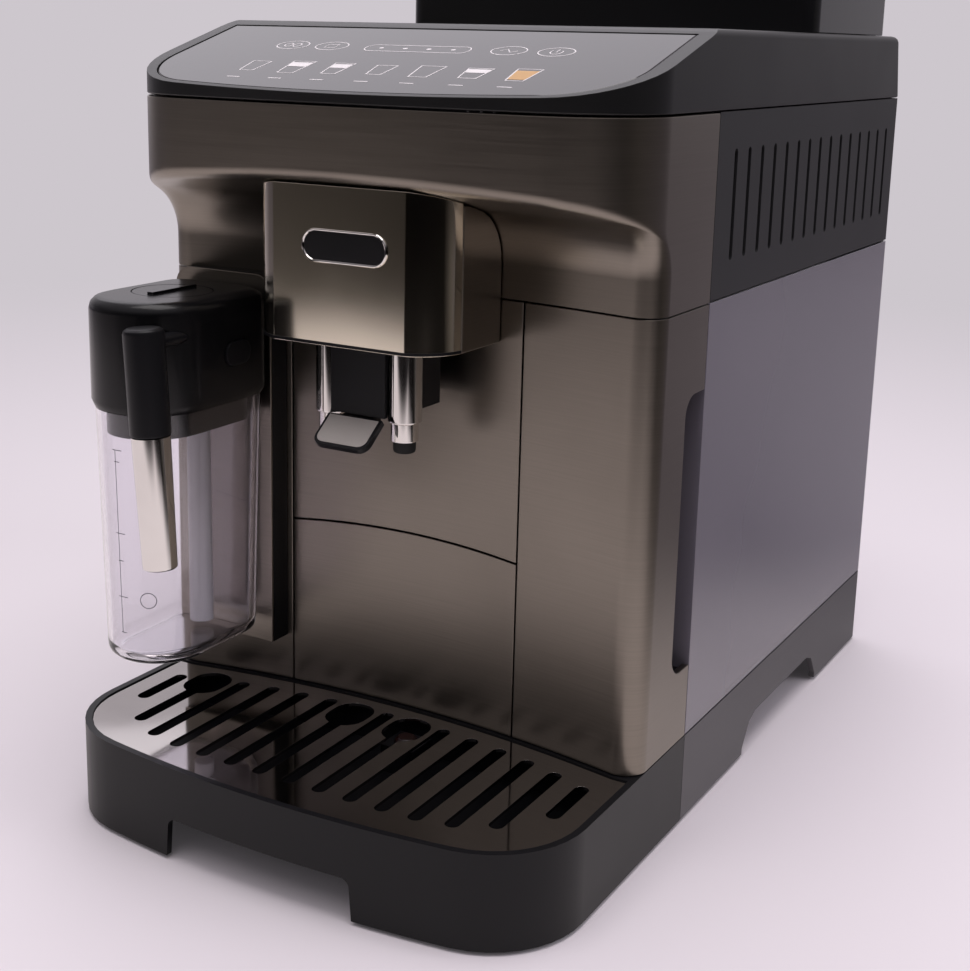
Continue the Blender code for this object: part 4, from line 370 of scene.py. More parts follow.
# Back-lacquered control glass: strong sheen at a low angle
panelGlass = moulded(
    name="black lacquered glass", colour="#1f1c1f", colourLight="#242124", roughness=0.09, patchMm=90,
    grainMm=30, grainDepthMm=0.01, grainStrength=0.1, shader={"IOR": 1.62})
# Smoky SAN of the tank, moulded clear enough to see the dark frame through it
smokySan = moulded(
    name="smoky SAN", colour="#938e9a", colourLight="#9c97a2", roughness=0.10, patchMm=80, grainMm=40,
    grainDepthMm=0.02, grainStrength=0.1, shader={"IOR": 1.57, "Transmission Weight": 0.45})
letLampsThrough(smokySan, "#8a8690")
# Clear copolyester carafe: thin bright edges, a little lavender in the thick foot
clearCopolyester = moulded(
    name="clear copolyester", colour="#f1eff6", colourLight="#f6f5fa", roughness=0.05, patchMm=60,
    grainMm=20, grainDepthMm=0.01, grainStrength=0.1, shader={"IOR": 1.5, "Transmission Weight": 1.0})
letLampsThrough(clearCopolyester, "#f9f7fc")
# Polypropylene milk tube: milky white
whiteTube = moulded(
    name="white polypropylene", colour="#f0eded", colourLight="#f6f4f3", roughness=0.4, patchMm=20,
    grainMm=0.8, grainDepthMm=0.01, grainStrength=0.2, shader={"IOR": 1.49})
# Soft-touch finger tab: mid grey satin
tabGrey = moulded(
    name="grey satin ABS", colour="#a39d99", colourLight="#aea8a4", roughness=0.38, patchMm=12, grainMm=0.6,
    grainDepthMm=0.02, grainStrength=0.4, shader={"IOR": 1.53})
# Acetal float: red and waxy, its colour darkened with painted shade so that it is lost in its hole
redAcetalPaintedShade = moulded(
    name="red acetal darkened with painted shade", colour="#1b0908", colourLight="#210b0a", roughness=0.35, patchMm=8, grainMm=0.8,
    grainDepthMm=0.01, grainStrength=0.2, shader={"IOR": 1.48})
# Natural rubber feet and silicone tips: dull, no reflection
footRubber = moulded(
    name="black rubber", colour="#161616", colourLight="#1d1d1d", roughness=0.78, patchMm=14, grainMm=0.5,
    grainDepthMm=0.05, grainStrength=0.6, shader={"IOR": 1.52})
# Die-cast aluminium of the boiler: pale, faintly grainy
castAluminium = moulded(
    name="cast aluminium", colour="#b4b4b6", colourLight="#c0c0c2", roughness=0.42, patchMm=20, grainMm=1.2,
    grainDepthMm=0.08, grainStrength=0.6, shader={"Metallic": 1.0})
# Glass fibre board with solder resist
fibreBoard = moulded(
    name="glass fibre board", colour="#1d4a2c", colourLight="#245535", roughness=0.35, patchMm=6,
    grainMm=0.9, grainDepthMm=0.02, grainStrength=0.4, shader={"IOR": 1.55})
# Printed ink: pale grey and amber on the glass, dark grey on the carafe
paleInk = moulded(
    name="pale printed ink", colour="#dcd7da", colourLight="#e6e1e4", roughness=0.4, patchMm=5, grainMm=0.5,
    grainDepthMm=0.01, grainStrength=0.2, shader={"IOR": 1.5})
darkInk = moulded(
    name="grey printed ink", colour="#55525c", colourLight="#605d67", roughness=0.4, patchMm=5, grainMm=0.5,
    grainDepthMm=0.01, grainStrength=0.2, shader={"IOR": 1.5})
amberInk = moulded(
    name="amber printed ink", colour="#b98a4c", colourLight="#c79a5a", roughness=0.4, patchMm=4,
    grainMm=0.5, grainDepthMm=0.01, grainStrength=0.2, shader={"IOR": 1.5})


# Mesh tools


# A closed body whose normals point out, riding on its CAD body
def newPiece(name, points, faces, material, body):
    mesh = bpy.data.meshes.new(name)
    work = bmesh.new()
    corners = [work.verts.new(point) for point in points]
    for face in faces:
        work.faces.new([corners[i] for i in face])
    bmesh.ops.remove_doubles(work, verts=work.verts, dist=weldMm * mm)
    bmesh.ops.recalc_face_normals(work, faces=work.faces)
    work.to_mesh(mesh)
    work.free()
    mesh.materials.append(material)
    mesh.shade_smooth()
    mesh.set_sharp_from_angle(angle=sharpAngle)
    piece = bpy.data.objects.new(name, mesh)
    bpy.context.collection.objects.link(piece)
    if body:
        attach(piece, body)
        piece.modifiers.new("weigh", "WEIGHTED_NORMAL").keep_sharp = True
    return piece


# Skin through rings of equal count; closed joins the last ring to the first
def loft(name, rings, material, body, closed=False):
    count = len(rings[0])
    points = [point for ring in rings for point in ring]
    faces = []
    for i in range(len(rings) if closed else len(rings) - 1):
        here = i * count
        there = (i + 1) % len(rings) * count
        for j in range(count):
            k = (j + 1) % count
            faces.append((here + j, here + k, there + k, there + j))
    if not closed:
        faces.append(tuple(reversed(range(count))))
        faces.append(tuple(range(len(points) - count, len(points))))
    return newPiece(name, points, faces, material, body)


def onAxis(u, v, w, axis):
    return {"X": (w, u, v), "Y": (u, w, v), "Z": (u, v, w)}[axis]


def prism(name, outline, low, high, material, body=None, axis="Z"):
    rings = [[onAxis(u, v, w, axis) for u, v in outline] for w in (low, high)]
    return loft(name, rings, material, body)


# Solid of revolution; profile is (radius, place along the axis)
def turned(name, centre, profile, material, body, axis="Z", steps=64):
    rings = []
    for radius, along in profile:
        rings.append([onAxis(centre[0] + radius * cos(2 * pi * i / steps),
                             centre[1] + radius * sin(2 * pi * i / steps), along, axis) for i in range(steps)])
    return loft(name, rings, material, body)


def arc(centre, radius, start, end, steps=12):
    turn = (end - start) / steps
    return [(centre[0] + radius * cos(start + turn * i), centre[1] + radius * sin(start + turn * i))
            for i in range(steps + 1)]


# Takes the cutter's space out of the piece and drops the cutter
def cutAway(piece, cutter):
    step = piece.modifiers.new("cut", "BOOLEAN")
    step.operation = "DIFFERENCE"
    step.solver = "EXACT"
    step.object = cutter
    graph = bpy.context.evaluated_depsgraph_get()
    mesh = bpy.data.meshes.new_from_object(piece.evaluated_get(graph))
    piece.modifiers.clear()
    piece.data = mesh
    bpy.data.objects.remove(cutter)


# The small round that every moulded or pressed edge has
def softEdge(piece, widthMm, steps=2):
    piece.modifiers.clear()
    bevel = piece.modifiers.new("edge", "BEVEL")
    bevel.width = widthMm * mm
    bevel.segments = steps
    bevel.limit_method = "ANGLE"
    bevel.angle_limit = sharpAngle
    piece.modifiers.new("weigh", "WEIGHTED_NORMAL")


# A CAD solid whose shape is right, given its finish and the small rounds of its edges
def dressNode(node, material, edgeMm, steps=2):
    source = cadNodes[node]
    work = bmesh.new()
    work.from_mesh(source.data)
    bmesh.ops.remove_doubles(work, verts=work.verts, dist=cadWeldMm * mm)
    bmesh.ops.dissolve_limit(work, angle_limit=flatAngle, verts=work.verts, edges=work.edges)
    mesh = bpy.data.meshes.new(node + "_dressed")
    work.to_mesh(mesh)
    work.free()
    mesh.materials.clear()
    mesh.materials.append(material)
    mesh.shade_smooth()
    mesh.set_sharp_from_angle(angle=sharpAngle)
    piece = bpy.data.objects.new(node + "_dressed", mesh)
    bpy.context.collection.objects.link(piece)
    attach(piece, source["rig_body"])
    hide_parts(node)
    softEdge(piece, edgeMm, steps)


def bodyOf(node):
    return cadNodes[node]["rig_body"]


# Front lines of the machine: y at a station x, the same curves that the CAD solids follow

alcove = dict(y=-0.0994, radius=0.518, corner=0.010)
# topRound: inset and drop of the rounded top edge, as shares of the reveal
hoodForm = dict(front=0.1527, corner=0.040, bow=0.0045, topRound=((0, 2.0), (0.3, 1.3), (1, 1)))
lipForm = dict(blend=0.0045, share=0.8, coveZ=0.246, coveRadius=0.024, slope=0.27, coveSteps=22, lipSteps=8,
               halvings=30)


# A shallow bow between two round corners
def bowedY(x, form, halfWidth=half, inset=0.0):
    corner = form["corner"]
    reach = halfWidth - corner
    radius = (reach ** 2 + form["bow"] ** 2) / (2 * form["bow"])
    tilt = asin(reach / (radius - corner))
    middle = radius - form["front"]
    cornerY = middle - (radius - corner) * cos(tilt)
    along = abs(x)
    if along <= (radius - inset) * sin(tilt):
        return middle - sqrt((radius - inset) ** 2 - along ** 2)
    return cornerY - sqrt(max((corner - inset) ** 2 - (along - reach) ** 2, 0))


# The concave alcove and the round where it turns on to each side
def alcoveY(x, forward=0.0, inset=0.0):
    corner = alcove["corner"]
    radius = alcove["radius"] - forward
    middle = alcove["y"] - alcove["radius"]
    roundX = half - corner
    roundY = middle + sqrt((radius + corner) ** 2 - roundX ** 2)
    along = abs(x)
    if along <= roundX * (radius + inset) / (radius + corner):
        return middle + sqrt((radius + inset) ** 2 - along ** 2)
    return roundY - sqrt(max((corner - inset) ** 2 - (along - roundX) ** 2, 0))


# Height of the cove's ceiling, a quarter round that runs on as a slope
def coveZ(forward):
    radius = lipForm["coveRadius"]
    turn = radius * (1 - sin(atan(lipForm["slope"])))
    part = min(forward, turn)
    return lipForm["coveZ"] + sqrt(radius ** 2 - (radius - part) ** 2) + (forward - part) * lipForm["slope"]


# Height of the hood's underside at a place in front of the alcove
def underZ(x, y):
    reach = sqrt((y - alcove["y"] + alcove["radius"]) ** 2 + x ** 2)
    return coveZ(max(alcove["radius"] - reach, 0))


# How far forward of the alcove the cove meets the hood's front, by halving
def crease(x, inset):
    near, far = 0.0, alcove["radius"] / 4
    for _ in range(lipForm["halvings"]):
        middle = (near + far) / 2
        if alcoveY(x, middle, inset) > bowedY(x, hoodForm, half, inset):
            near = middle
        else:
            far = middle
    return near


# (y, z) at station x, from the hood's lower edge round the cove to the lip
def lipProfile(x, inset):
    meet = crease(x, inset)
    blend = min(lipForm["blend"], meet * lipForm["share"])
    points = [(alcoveY(x, 0, inset), splitZ)]
    for i in range(lipForm["coveSteps"] + 1):
        forward = (meet - blend) * (i / lipForm["coveSteps"]) ** 2
        points.append((alcoveY(x, forward, inset), coveZ(forward)))
    start = points[-1]
    tip = (bowedY(x, hoodForm, half, inset), coveZ(meet))
    for i in range(1, lipForm["lipSteps"] + 1):
        t = i / lipForm["lipSteps"]
        points.append((start[0] * (1 - t) ** 2 + tip[0] * (1 - (1 - t) ** 2),
                       start[1] * (1 - t) ** 2 + tip[1] * 2 * t * (1 - t) + (tip[1] + blend) * t ** 2))
    return points


# Stations from side to side, closer together towards the corners
def across(reach, steps=140):
    return [reach * sin(pi / 2 * (2 * i / steps - 1)) for i in range(steps + 1)]


# Hood with its lip over the alcove

print("hood and columns")


def hoodRing(outer, inner):
    edge, innerEdge = outer[-1][0], inner[-1][0]
    outside = [(-edge, seamY, outer[0][2])] + outer + [(edge, seamY, outer[-1][2])]
    return outside + [(innerEdge, seamY, inner[-1][2])] + inner[::-1] + [(-innerEdge, seamY, inner[0][2])]


def makeHood():
    outerX, innerX = across(half), across(half - wall)
    outer = [lipProfile(x, 0) for x in outerX]
    inner = [lipProfile(x, wall) for x in innerX]
    rings = []
    for i in range(len(outer[0])):
        lift = wall if i else 0
        rings.append(hoodRing([(x, *line[i]) for x, line in zip(outerX, outer)],
                              [(x, line[i][0], line[i][1] + lift) for x, line in zip(innerX, inner)]))
    innerTop = [(x, bowedY(x, hoodForm, half, wall)) for x in innerX]
    for inset, drop in hoodForm["topRound"]:
        inset, z = inset * reveal, hoodTop - drop * reveal
        rings.append(hoodRing([(x, bowedY(x, hoodForm, half, inset), z) for x in across(half - inset)],
                              [(x, y, z) for x, y in innerTop]))
    piece = loft("hood_shell", rings, bronze, bodyOf("hood"))
    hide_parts("hood")


makeHood()

# Columns and the panel between them
columnForm = dict(panelHalf=0.058, steps=44, low=trayTop + fit, high=splitZ - reveal, edgeMm=0.3)
panelForm = dict(seamZ=0.120, seamRise=0.003, steps=24, edgeMm=0.3)
grip = dict(low=0.075, high=0.196, front=-0.079, corner=0.009, past=0.010)


def makeColumn(node, sign):
    def stations(end):
        start, steps = columnForm["panelHalf"], columnForm["steps"]
        return [start + (end - start) * sin(pi / 2 * i / steps) for i in range(steps + 1)]
    points = [(x, alcoveY(x)) for x in stations(half)] + [(half, seamY), (half - wall, seamY)]
    points += [(x, alcoveY(x, 0, wall)) for x in reversed(stations(half - wall))]
    piece = prism(node + "_shell", [(sign * x, y) for x, y in points], columnForm["low"], columnForm["high"],
                  bronze, bodyOf(node))
    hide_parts(node)
    return piece


# Finger recess in the right column's rear edge
def cutGrip(column):
    corner, rearY = grip["corner"], seamY + grip["past"]
    outline = [(rearY, grip["low"]), (rearY, grip["high"])]
    outline += arc((grip["front"] + corner, grip["high"] - corner), corner, pi / 2, pi)
    outline += arc((grip["front"] + corner, grip["low"] + corner), corner, pi, 1.5 * pi)
    cutAway(column, prism("grip_cutter", outline, half - grip["past"], half + grip["past"], bronze, axis="X"))


leftColumn = makeColumn("column_left", -1)
softEdge(leftColumn, columnForm["edgeMm"])
rightColumn = makeColumn("column_right", 1)
cutGrip(rightColumn)
softEdge(rightColumn, columnForm["edgeMm"])


# Seam between the alcove's panel and the front of the grounds container, a shallow arch
def panelSeam(x):
    return panelForm["seamZ"] + panelForm["seamRise"] * (1 - (x / columnForm["panelHalf"]) ** 2)


def makeStrip(name, node, low, high):
    edge = columnForm["panelHalf"] - reveal
    thick = wall - reveal
    steps = panelForm["steps"]
    rings = []
    for i in range(2 * steps + 1):
        x = edge * (i / steps - 1)
        y = alcoveY(x)
        rings.append([(x, y, low(x)), (x, y, high(x)), (x, y + thick, high(x)), (x, y + thick, low(x))])
    piece = loft(name, rings, bronze, bodyOf(node))
    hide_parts(node)
    softEdge(piece, panelForm["edgeMm"])


makeStrip("alcove_panel", "centre_panel", lambda x: panelSeam(x) + reveal, lambda x: splitZ - reveal)
makeStrip("bin_panel", "grounds_front", lambda x: trayTop + fit, panelSeam)

# Black cover, its glass and the printed marks

print("cover and control panel")
slope = dict(frontY=-0.1527, ridgeY=-0.0625, lowZ=0.3125, topZ=0.340)
glassForm = dict(inset=0.0075, frontInset=0.0032, depth=0.0027, rise=-0.0002, edge=0.0006, edgeDrop=0.0004,
                 steps=90)
slopeNormal = Vector((0, slope["lowZ"] - slope["topZ"], slope["ridgeY"] - slope["frontY"])).normalized()


def onSlope(x, y, lift):
    run, climb = slope["ridgeY"] - slope["frontY"], slope["topZ"] - slope["lowZ"]
    z = slope["lowZ"] + (y - slope["frontY"]) * climb / run
    return Vector((x, y, z)) + slopeNormal * lift


def glassOutline(grow):
    inset = glassForm["inset"]
    form = dict(front=-slope["frontY"] - glassForm["frontInset"] + grow,
                corner=hoodForm["corner"] - inset + grow, bow=hoodForm["bow"])
    edge = half - inset + grow
    endY = slope["ridgeY"] - inset + grow
    outline = [(x, min(bowedY(x, form, edge), endY)) for x in across(edge, glassForm["steps"])]
    return outline + [(edge, endY), (-edge, endY)]


def makeGlass():
    outline = glassOutline(0)
    inner = glassOutline(-glassForm["edge"])
    rings = [[onSlope(x, y, -glassForm["depth"]) for x, y in outline],
             [onSlope(x, y, glassForm["rise"] - glassForm["edgeDrop"]) for x, y in outline],
             [onSlope(x, y, glassForm["rise"]) for x, y in inner]]
    piece = loft("control_glass", rings, panelGlass, bodyOf("control_panel"))
    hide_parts("control_panel")


makeGlass()
dressNode("top_cover", coverAbs, 0.5, 3)
dressNode("bean_hopper", glossSan, 0.6, 3)
dressNode("hopper_lid", glossSan, 0.4)
for node in ("vent_panel", "side_panel", "back_cover"):
    dressNode(node, texturedAbs, 0.3)
# The base frame's lighter grey is partly painted bounce light from the floor
dressNode("base_frame", bounceLitBaseAbs, 0.4)


# Flat ribbons of print, gathered into one mesh; place turns a drawing point into a space point
class Marks:
    def __init__(self, place):
        self.place = place
        self.points = []
        self.faces = []

    def line(self, path, width, closed=False):
        base = len(self.points)
        count = len(path)
        for i in range(count):
            before = Vector(path[i - 1] if closed or i else path[0])
            after = Vector(path[(i + 1) % count] if closed or i < count - 1 else path[-1])
            side = Vector((before.y - after.y, after.x - before.x)).normalized() * width / 2
            for sign in (-1, 1):
                spot = Vector(path[i]) + side * sign
                self.points.append(self.place(spot.x, spot.y))
        for i in range(count if closed else count - 1):
            j = (i + 1) % count
            self.faces.append((base + 2 * i, base + 2 * j, base + 2 * j + 1, base + 2 * i + 1))

    def patch(self, outline):
        base = len(self.points)
        self.points += [self.place(x, y) for x, y in outline]
        self.faces.append(tuple(range(base, base + len(outline))))

    def finish(self, name, material, body, slot):
        newPiece(name, self.points, self.faces, material, body)


def oval(x, y, wide, tall, steps=40):
    angles = [2 * pi * i / steps for i in range(steps)]
    return [(x + wide / 2 * cos(angle), y + tall / 2 * sin(angle)) for angle in angles]


def pill(x, y, wide, tall, steps=14):
    end, radius = wide / 2 - tall / 2, tall / 2
    right = arc((x + end, y), radius, -pi / 2, pi / 2, steps)
    return right + arc((x - end, y), radius, pi / 2, 1.5 * pi, steps)


keys = dict(rowY=-0.0957, rowX=(-0.0617, -0.0415, 0.0437, 0.0648), ovalWide=0.0156, ovalTall=0.0104,
            stroke=0.0005, lift=0.00005, pillX=0.00125, pillY=-0.0965, pillWide=0.0501, pillTall=0.0078,
            dots=4, dotPitch=0.0115, dotWide=0.0022, dotTall=0.0017)
# What each key holds, in mm from its middle, and whether the line closes
keyLines = (((oval(-2.2, 0, 3.6, 4.2, 20), True), (oval(2.2, 0, 3.6, 4.2, 20), True)),
            (([(-2.6, -2), (-2.6, 2), (2.6, 2), (2.6, -2)], True),),
            (([(-4, 0), (-1.4, 2), (1.4, -2), (4, 0)], False),),
            ((arc((0, 0), 2.6, -1.2 * pi, 0.2 * pi, 20), False), ([(0, -0.3), (0, 3.4)], False)))
# Cups: x, width, height and filling; the outline and the fillings in shares of half the width and height
cups = dict(y=-0.1235, stroke=0.0007, dashY=-0.1375, dashWide=0.0064, dashStroke=0.0007,
            row=((-0.0611, 0.0094, 0.0115, None), (-0.0403, 0.0110, 0.0145, "foam"),
                 (-0.0197, 0.0098, 0.0130, "foam"), (0.0013, 0.0096, 0.0110, None),
                 (0.0222, 0.0114, 0.0130, None), (0.0441, 0.0112, 0.0115, "foam"),
                 (0.0650, 0.0108, 0.0135, "coffee")),
            outline=((-1, 1), (-0.7, -1), (0.7, -1), (1, 1)),
            foam=((-0.95, 0.8), (-0.85, 0.1), (0.85, 0.1), (0.95, 0.8)),
            coffee=((-0.9, 0.7), (-0.68, -0.8), (0.68, -0.8), (0.9, 0.7)))


def cupShape(x, wide, tall, shape):
    return [(x + u * wide / 2, cups["y"] + v * tall / 2) for u, v in cups[shape]]


def makeMarks():
    lift = glassForm["rise"] + keys["lift"]
    ink = Marks(lambda x, y: onSlope(x, y, lift))
    amber = Marks(lambda x, y: onSlope(x, y, lift))
    stroke = keys["stroke"]
    for x, lines in zip(keys["rowX"], keyLines):
        ink.line(oval(x, keys["rowY"], keys["ovalWide"], keys["ovalTall"]), stroke, True)
        for path, closed in lines:
            ink.line([(x + u * mm, keys["rowY"] + v * mm) for u, v in path], stroke, closed)
    ink.line(pill(keys["pillX"], keys["pillY"], keys["pillWide"], keys["pillTall"]), stroke, True)
    for i in range(keys["dots"]):
        x = keys["pillX"] + (i - (keys["dots"] - 1) / 2) * keys["dotPitch"]
        ink.patch(oval(x, keys["pillY"], keys["dotWide"], keys["dotTall"], 16))
    dashHalf = cups["dashWide"] / 2
    for x, wide, tall, filling in cups["row"]:
        ink.line(cupShape(x, wide, tall, "outline"), cups["stroke"], True)
        if filling:
            (amber if filling == "coffee" else ink).patch(cupShape(x, wide, tall, filling))
        ink.line([(x - dashHalf, cups["dashY"]), (x + dashHalf, cups["dashY"])], cups["dashStroke"])
    ink.finish("panel_marks", paleInk, bodyOf("control_panel"), "gloss_black")
    amber.finish("panel_amber_mark", amberInk, bodyOf("control_panel"), "gloss_black")


makeMarks()

# Spout housing, its trim and bare badge plate

print("spout")
housing = dict(half=0.0465, flat=0.031, front=-0.1508, back=-0.133, low=0.2137, wall=0.0025, crease=17,
               overrun=0.010, edgeMm=0.3)
trim = dict(low=0.0003, high=0.0015, sunk=0.0003, proud=0.00025, edgeMm=0.15)
# rimRound: place across the rim and height, as shares of its width and height
badge = dict(x=0.0031, z=0.2537, wide=0.0404, tall=0.0135, rim=0.0011, proud=0.0009, sunk=0.0002, steps=24,
             rimRound=((0, 0.5), (0.25, 0.9), (0.5, 1), (0.75, 0.9), (1, 0.5)),
             overlap=0.00005, fieldSunk=0.00015, fieldHigh=0.35)


# Flat face with a faint crease at each side, where the rounds to the back begin
def housingOutline(inset, back, steps=26):
    corner = housing["half"] - housing["flat"]
    edge = housing["half"] - inset
    turn = radians(housing["crease"])
    radius = corner / (1 - sin(turn))
    end = asin((back - housing["front"] - radius * cos(turn)) / radius)
    centre = (housing["half"] - radius, housing["front"] + radius * cos(turn))
    side = arc(centre, radius - inset, end, turn - pi / 2, steps)
    side = [(min(x, edge), max(y, housing["front"] + inset)) for x, y in side]
    return side + [(-x, y) for x, y in reversed(side)]


# The housing's top follows the slope under the lip
def housingTop(y):
    lowY, highY = housing["front"] - housing["overrun"], housing["back"] + housing["overrun"]
    lowZ, highZ = underZ(housing["half"], lowY) - fit, underZ(housing["half"], highY) - fit
    return lowZ + (highZ - lowZ) * (y - lowY) / (highY - lowY)


def makeHousing():
    outer = housingOutline(0, housing["back"])
    inner = housingOutline(housing["wall"], housing["back"] - housing["wall"] / 2)
    ceiling = underZ(housing["half"], housing["back"]) - housing["wall"]
    low = housing["low"]
    rings = [[(x, y, ceiling) for x, y in inner], [(x, y, low) for x, y in inner],
             [(x, y, low) for x, y in outer], [(x, y, housingTop(y)) for x, y in outer]]
    piece = loft("housing_shell", rings, champagne, bodyOf("spout_housing"))
    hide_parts("spout_housing")
    softEdge(piece, housing["edgeMm"])


# Narrow black band round the housing's foot
def makeTrim():
    rings = []
    for inset, rise in ((trim["sunk"], trim["low"]), (-trim["proud"], trim["low"]),
                        (-trim["proud"], trim["high"]), (trim["sunk"], trim["high"])):
        rings.append([(x, y, housing["low"] + rise) for x, y in housingOutline(inset, housing["back"])])
    piece = loft("housing_trim", rings, satinAbs, bodyOf("spout_housing"), closed=True)
    softEdge(piece, trim["edgeMm"])


# A black pill with a bright rim
def makeBadge():
    y = housing["front"]
    rim, proud = badge["rim"], badge["proud"]

    def ring(grow, depth):
        wide, tall = badge["wide"] + 2 * grow, badge["tall"] + 2 * grow
        outline = pill(badge["x"], badge["z"], wide, tall, badge["steps"])
        return [(x, y - depth, z) for x, z in outline]
    rings = [ring(0, -badge["sunk"])]
    rings += [ring(-share * rim, high * proud) for share, high in badge["rimRound"]]
    rings.append(ring(-rim, -badge["sunk"]))
    loft("badge_rim", rings, chromePlate, bodyOf("spout_housing"), closed=True)
    edge = badge["overlap"] - rim
    field = [ring(edge, -badge["fieldSunk"]), ring(edge, badge["fieldHigh"] * proud)]
    loft("badge_field", field, glossSan, bodyOf("spout_housing"))


makeHousing()
makeTrim()
makeBadge()

# Both coffee pipes; the small steps in their profiles are the rounds of each edge
pipe = dict(x=0.0178, y=-0.1283, radius=0.0071, low=0.1844, lip=0.003, collarLow=0.1736, collarRadius=0.0058,
            top=0.256, tipLow=0.1687, tipRadius=0.0047)


def makePipe(side, sign):
    centre = (sign * pipe["x"], pipe["y"])
    lip = pipe["low"] - pipe["lip"]
    collar, radius = pipe["collarRadius"], pipe["radius"]
    profile = [(collar - 0.5 * mm, pipe["collarLow"]), (collar - 0.1 * mm, pipe["collarLow"] + 0.2 * mm),
               (collar, pipe["collarLow"] + 0.6 * mm), (collar, lip - 0.2 * mm), (collar + 0.2 * mm, lip),
               (radius - 0.5 * mm, lip + 0.2 * mm), (radius - 0.15 * mm, lip + 0.45 * mm),
               (radius, lip + 0.9 * mm), (radius, pipe["top"])]
    piece = turned("pipe_" + side, centre, profile, chromePlate, bodyOf("spout_pipe_" + side))
    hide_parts("spout_pipe_" + side)
    tip = pipe["tipRadius"]
    low = pipe["tipLow"]
    profile = [(tip - 1.6 * mm, low + 2.5 * mm), (tip - 1.6 * mm, low), (tip - 1.0 * mm, low),
               (tip - 0.3 * mm, low + 0.4 * mm), (tip, low + 1.4 * mm), (tip, pipe["collarLow"] - fit)]
    piece = turned("nozzle_tip_" + side, centre, profile, footRubber, bodyOf("spout_nozzle_" + side))
    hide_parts("spout_nozzle_" + side)


makePipe("left", -1)
makePipe("right", 1)
dressNode("spout_bracket", bronze, 0.6, 3)
dressNode("spout_carriage", satinAbs, 0.5, 3)
dressNode("spout_tab", satinAbs, 0.6, 3)
tabFace = dict(top=(0, -0.138, 0.1832), lean=(0, -0.013, -0.010), halfWide=0.0119, start=0.0008, margin=0.0013,
               corner=0.0036, proud=0.00025, sunk=0.0001, edgeMm=0.15)


# Grey soft plate let into the tab's black frame
def makeTabFace():
    lean = Vector(tabFace["lean"])
    normal = Vector((0, lean.z, -lean.y)).normalized()
    low, high, corner = tabFace["start"], lean.length - tabFace["margin"], tabFace["corner"]
    wide = tabFace["halfWide"]
    outline = [(-wide, low), (wide, low)] + arc((wide - corner, high - corner), corner, 0, pi / 2)
    outline += arc((corner - wide, high - corner), corner, pi / 2, pi)
    rings = []
    for lift in (-tabFace["sunk"], tabFace["proud"]):
        start = Vector(tabFace["top"]) + normal * lift
        rings.append([start + Vector((x, 0, 0)) + lean.normalized() * v for x, v in outline])
    softEdge(loft("tab_face", rings, tabGrey, bodyOf("spout_tab")), tabFace["edgeMm"])


makeTabFace()

# Tray, grille and feet

print("tray")
dressNode("drip_tray", satinAbs, 0.6, 3)
dressNode("drip_grille", brightSteel, 0.45, 3)
# The float's near-black red is painted shade over its own red
dressNode("level_float", redAcetalPaintedShade, 0.3)
dressNode("grounds_bin", satinAbs, 0.3)
dressNode("grip_liner", satinAbs, 0.3)
for corner in ("front_left", "front_right", "rear_left", "rear_right"):
    dressNode("foot_" + corner, footRubber, 0.2)

# Tank

print("tank")
dressNode("water_tank", smokySan, 0.5, 3)
dressNode("tank_lid", satinAbs, 0.3)
dressNode("tank_valve", satinAbs, 0.2)

# Carafe, its arm and dock

print("carafe")
carafe = dict(x=-0.085, half=0.025, back=-0.117487, front=-0.187187, low=0.072, taper=0.0024, wall=0.002,
              corner=0.0075, footRound=0.005, capLow=0.182, noseSteps=72, cornerSteps=14, footSteps=7)
carafe["noseY"] = carafe["front"] + carafe["half"]
carafe["top"] = carafe["capLow"] - fit


def carafeRing(inset, z):
    edge = carafe["half"] - inset
    tail = carafe["back"] - inset
    corner, steps = carafe["corner"], carafe["cornerSteps"]
    points = arc((carafe["x"], carafe["noseY"]), edge, pi, 2 * pi, carafe["noseSteps"])
    points += arc((carafe["x"] + edge - corner, tail - corner), corner, 0, pi / 2, steps)
    points += arc((carafe["x"] - edge + corner, tail - corner), corner, pi / 2, pi, steps)
    return [(x, y, z) for x, y in points]


# Rings up the rounded foot: the wall's outside, or its inside a wall's thickness in
def footRings(thick):
    rings = []
    for i in range(carafe["footSteps"] + 1):
        angle = pi / 2 * i / carafe["footSteps"]
        grow = carafe["taper"] + carafe["footRound"] * (1 - sin(angle)) + thick
        rings.append(carafeRing(grow, carafe["low"] + thick + carafe["footRound"] * (1 - cos(angle))))
    return rings


def makeContainer():
    rings = footRings(0)
    rings += [carafeRing(fit, carafe["top"]), carafeRing(carafe["wall"] + fit, carafe["top"])]
    rings += reversed(footRings(carafe["wall"]))
    piece = loft("container_shell", rings, clearCopolyester, bodyOf("carafe_container"))
    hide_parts("carafe_container")


scaleMarks = dict(angle=268, ticks=(0.1665, 0.1615, 0.1305, 0.1185, 0.1025, 0.0865), tickLong=0.0034,
                  tickShort=0.00204, overhang=0.4, stroke=0.00035, lift=0.00006, steps=16, tickSteps=4,
                  ringAngle=297, ringZ=0.102, ringWide=0.0068)


